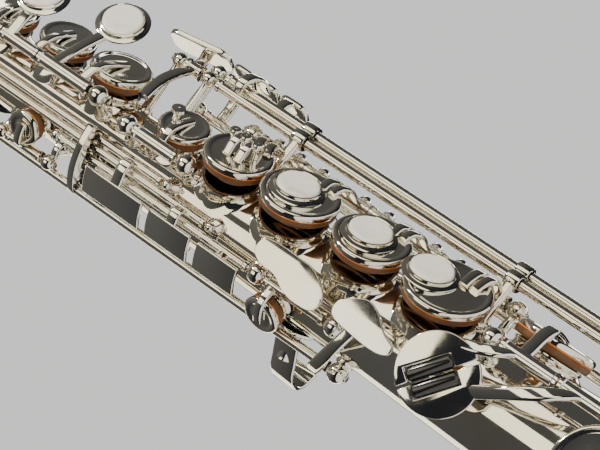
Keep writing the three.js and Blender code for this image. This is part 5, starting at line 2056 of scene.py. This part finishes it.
@dataclass
class Studio:
    """Pale floor, soft boxes, surroundings and the camera."""

    azimuth: float = -43.355
    elevation: float = -23.956
    roll: float = -55.807
    distance: float = 720.0
    target: tuple[float, float, float] = (-11.66, -28.02, 319.39)
    focal_length: float = 146.45

    def camera(self) -> None:
        """Places the camera at its viewing angle."""
        azimuth, elevation, roll = (
            math.radians(a)
            for a in (self.azimuth, self.elevation, self.roll)
        )
        back = Vector((
            math.sin(azimuth) * math.cos(elevation), -math.cos(azimuth) * math.cos(elevation),
            math.sin(elevation),
        ))
        level = Vector((math.cos(azimuth), math.sin(azimuth), 0.0))
        across = level * math.cos(roll) + back.cross(level) * math.sin(roll)
        turn = Matrix((across, back.cross(across), back)).transposed().to_4x4()
        bpy.ops.object.camera_add()
        camera = bpy.context.object
        camera.name = "studio_camera"
        camera.matrix_world = Matrix.Translation(
            (Vector(self.target) + back * self.distance) * MILLIMETRE,
        ) @ turn
        camera.data.lens = self.focal_length
        camera.data.sensor_width = 36.0
        camera.data.clip_start = 0.01
        bpy.context.scene.camera = camera

    def soft_box(
        self, name: str, toward: Vector, distance: float, size: tuple[float, float], power: float,
        colour: tuple[float, float, float],
    ) -> None:
        """Hangs one soft box that faces the middle of the instrument.

        Args:
            name: Its name.
            toward: Direction from the instrument to the box.
            distance: How far away it hangs, in metres.
            size: Its width and height, in metres.
            power: Its power in watts.
            colour: The colour of its light.
        """
        middle = Vector((0.0, 0.0, 0.33))
        bpy.ops.object.light_add(type="AREA")
        box = bpy.context.object
        box.name = name
        box.data.shape = "RECTANGLE"
        box.data.size, box.data.size_y = size
        box.data.energy = power
        box.data.color = colour
        direction = toward.normalized()
        box.matrix_world = Matrix.Translation(
            middle + direction * distance,
        ) @ direction.to_track_quat("Z", "Y").to_matrix().to_4x4()
        box.visible_camera = False

    def surroundings(self) -> None:
        """Pale backdrop to the eye, darker room in the metal and soft fill on matt pieces."""
        world = bpy.data.worlds.new("studio_surroundings")
        bpy.context.scene.world = world
        world.use_nodes = True
        nodes = world.node_tree.nodes
        links = world.node_tree.links
        nodes.clear()
        output = nodes.new("ShaderNodeOutputWorld")
        output.label = "Room"
        output.location = (700, 0)
        ray = nodes.new("ShaderNodeLightPath")
        ray.label = "What the light reaches"
        ray.location = (-400, 400)
        backdrop = nodes.new("ShaderNodeBackground")
        backdrop.label = "Pale backdrop"
        backdrop.location = (0, 250)
        backdrop.inputs["Color"].default_value = (0.80, 0.80, 0.79, 1.0)
        backdrop.inputs["Strength"].default_value = 1.1
        fill = nodes.new("ShaderNodeBackground")
        fill.label = "Soft fill"
        fill.location = (0, 100)
        fill.inputs["Color"].default_value = (0.98, 0.95, 0.90, 1.0)
        fill.inputs["Strength"].default_value = 0.85
        room_frame = nodes.new("NodeFrame")
        room_frame.label = "Room seen in the metal"
        place = nodes.new("ShaderNodeTexCoord")
        place.label = "Direction in the room"
        place.location = (-900, -200)
        place.parent = room_frame
        split = nodes.new("ShaderNodeSeparateXYZ")
        split.label = "Height in the room"
        split.location = (-700, -200)
        split.parent = room_frame
        height = nodes.new("ShaderNodeMapRange")
        height.label = "Floor to ceiling"
        height.location = (-500, -200)
        height.parent = room_frame
        height.inputs["From Min"].default_value = -1.0
        height.inputs["From Max"].default_value = 1.0
        tone = nodes.new("ShaderNodeValToRGB")
        tone.label = "Dark walls under a grey ceiling"
        tone.location = (-300, -200)
        tone.parent = room_frame
        tone.color_ramp.elements[0].position = 0.45
        tone.color_ramp.elements[0].color = (0.018, 0.019, 0.023, 1.0)
        tone.color_ramp.elements[1].position = 1.0
        tone.color_ramp.elements[1].color = (0.15, 0.145, 0.13, 1.0)
        room = nodes.new("ShaderNodeBackground")
        room.label = "Dim room"
        room.location = (0, -200)
        room.parent = room_frame
        matt = nodes.new("ShaderNodeMixShader")
        matt.label = "Fill for all light that leaves matt pieces"
        matt.location = (250, 0)
        seen = nodes.new("ShaderNodeMixShader")
        seen.label = "Backdrop only to the eye"
        seen.location = (480, 0)
        links.new(place.outputs["Generated"], split.inputs["Vector"])
        links.new(split.outputs["Z"], height.inputs["Value"])
        links.new(height.outputs["Result"], tone.inputs["Fac"])
        links.new(tone.outputs["Color"], room.inputs["Color"])
        links.new(ray.outputs["Diffuse Depth"], matt.inputs["Fac"])
        links.new(room.outputs["Background"], matt.inputs[1])
        links.new(fill.outputs["Background"], matt.inputs[2])
        links.new(ray.outputs["Is Camera Ray"], seen.inputs["Fac"])
        links.new(matt.outputs["Shader"], seen.inputs[1])
        links.new(backdrop.outputs["Background"], seen.inputs[2])
        links.new(seen.outputs["Shader"], output.inputs["Surface"])

    def floor(self) -> None:
        """Round pale floor under the bell."""
        bpy.ops.mesh.primitive_circle_add(vertices=96, radius=0.6, fill_type="NGON")
        floor = bpy.context.object
        floor.name = "studio_floor"
        floor.data.name = "studio_floor"
        material = bpy.data.materials.new("pale_floor")
        material.use_nodes = True
        nodes = material.node_tree.nodes
        links = material.node_tree.links
        nodes.clear()
        output = nodes.new("ShaderNodeOutputMaterial")
        output.label = "Floor surface"
        output.location = (500, 0)
        surface = nodes.new("ShaderNodeBsdfPrincipled")
        surface.label = "Matt paper"
        surface.location = (200, 0)
        surface.inputs["Roughness"].default_value = 0.9
        place = nodes.new("ShaderNodeTexCoord")
        place.label = "Place on the floor"
        place.location = (-700, 0)
        fibre = nodes.new("ShaderNodeTexNoise")
        fibre.label = "Paper fibre"
        fibre.location = (-450, 0)
        fibre.inputs["Scale"].default_value = 60.0
        tone = nodes.new("ShaderNodeValToRGB")
        tone.label = "Paper tone"
        tone.location = (-200, 0)
        tone.color_ramp.elements[0].color = (0.76, 0.76, 0.75, 1.0)
        tone.color_ramp.elements[1].color = (0.82, 0.82, 0.81, 1.0)
        links.new(place.outputs["Object"], fibre.inputs["Vector"])
        links.new(fibre.outputs["Fac"], tone.inputs["Fac"])
        links.new(tone.outputs["Color"], surface.inputs["Base Color"])
        links.new(surface.outputs["BSDF"], output.inputs["Surface"])
        floor.data.materials.append(material)

    def build(self) -> None:
        """Sets up the whole studio."""
        cream = (1.0, 0.93, 0.70)
        self.camera()
        self.surroundings()
        self.floor()
        self.soft_box("main_soft_box", Vector((-0.80, -0.46, 0.34)), 1.5, (0.75, 1.15), 5.2, cream)
        self.soft_box("side_soft_box", Vector((-0.20, -0.95, 0.28)), 1.6, (0.85, 2.0), 9.5, cream)
        self.soft_box(
            "rim_soft_box", Vector((1.0, 0.25, 0.12)), 1.6, (0.35, 2.2), 9.0, (1.0, 0.98, 0.92),
        )
        self.soft_box("back_soft_box", Vector((0.15, 1.0, 0.12)), 1.7, (0.9, 2.2), 13.0, cream)
        self.soft_box(
            "key_lamp", Vector((-0.25, -0.75, 1.0)), 1.2, (0.12, 0.12), 6.0, (1.0, 0.97, 0.92),
        )


def main() -> None:
    """Builds the instrument on its frame, sub-assembly by sub-assembly, and then the studio."""
    logging.basicConfig(level=logging.INFO, format="%(name)s: %(message)s")
    bench = Bench(PaintShop())
    tube = BodyTube()
    assemblies = {
        "body tube": tube.build,
        "bell": Bell().build,
        "neck": NeckJoint().build,
        "mouthpiece": Mouthpiece().build,
        "stack keys": StackKeys().build,
        "long keys": LongKeys().build,
        "little finger keys": LittleFingerKeys().build,
        "flat touch keys": FlatTouchKeys().build,
        "side keys": SideKeys().build,
        "palm keys": PalmKeys().build,
        "octave mechanism": OctaveMechanism().build,
        "fittings": Fittings().build,
    }
    for title, build in assemblies.items():
        build(bench)
        log.info("%s made, %d pieces so far", title, bench.count)
    SmallHardware().build(bench, tube.posts)
    log.info("small hardware made, %d pieces in all", bench.count)
    Studio().build()


if __name__ == "__main__":
    main()
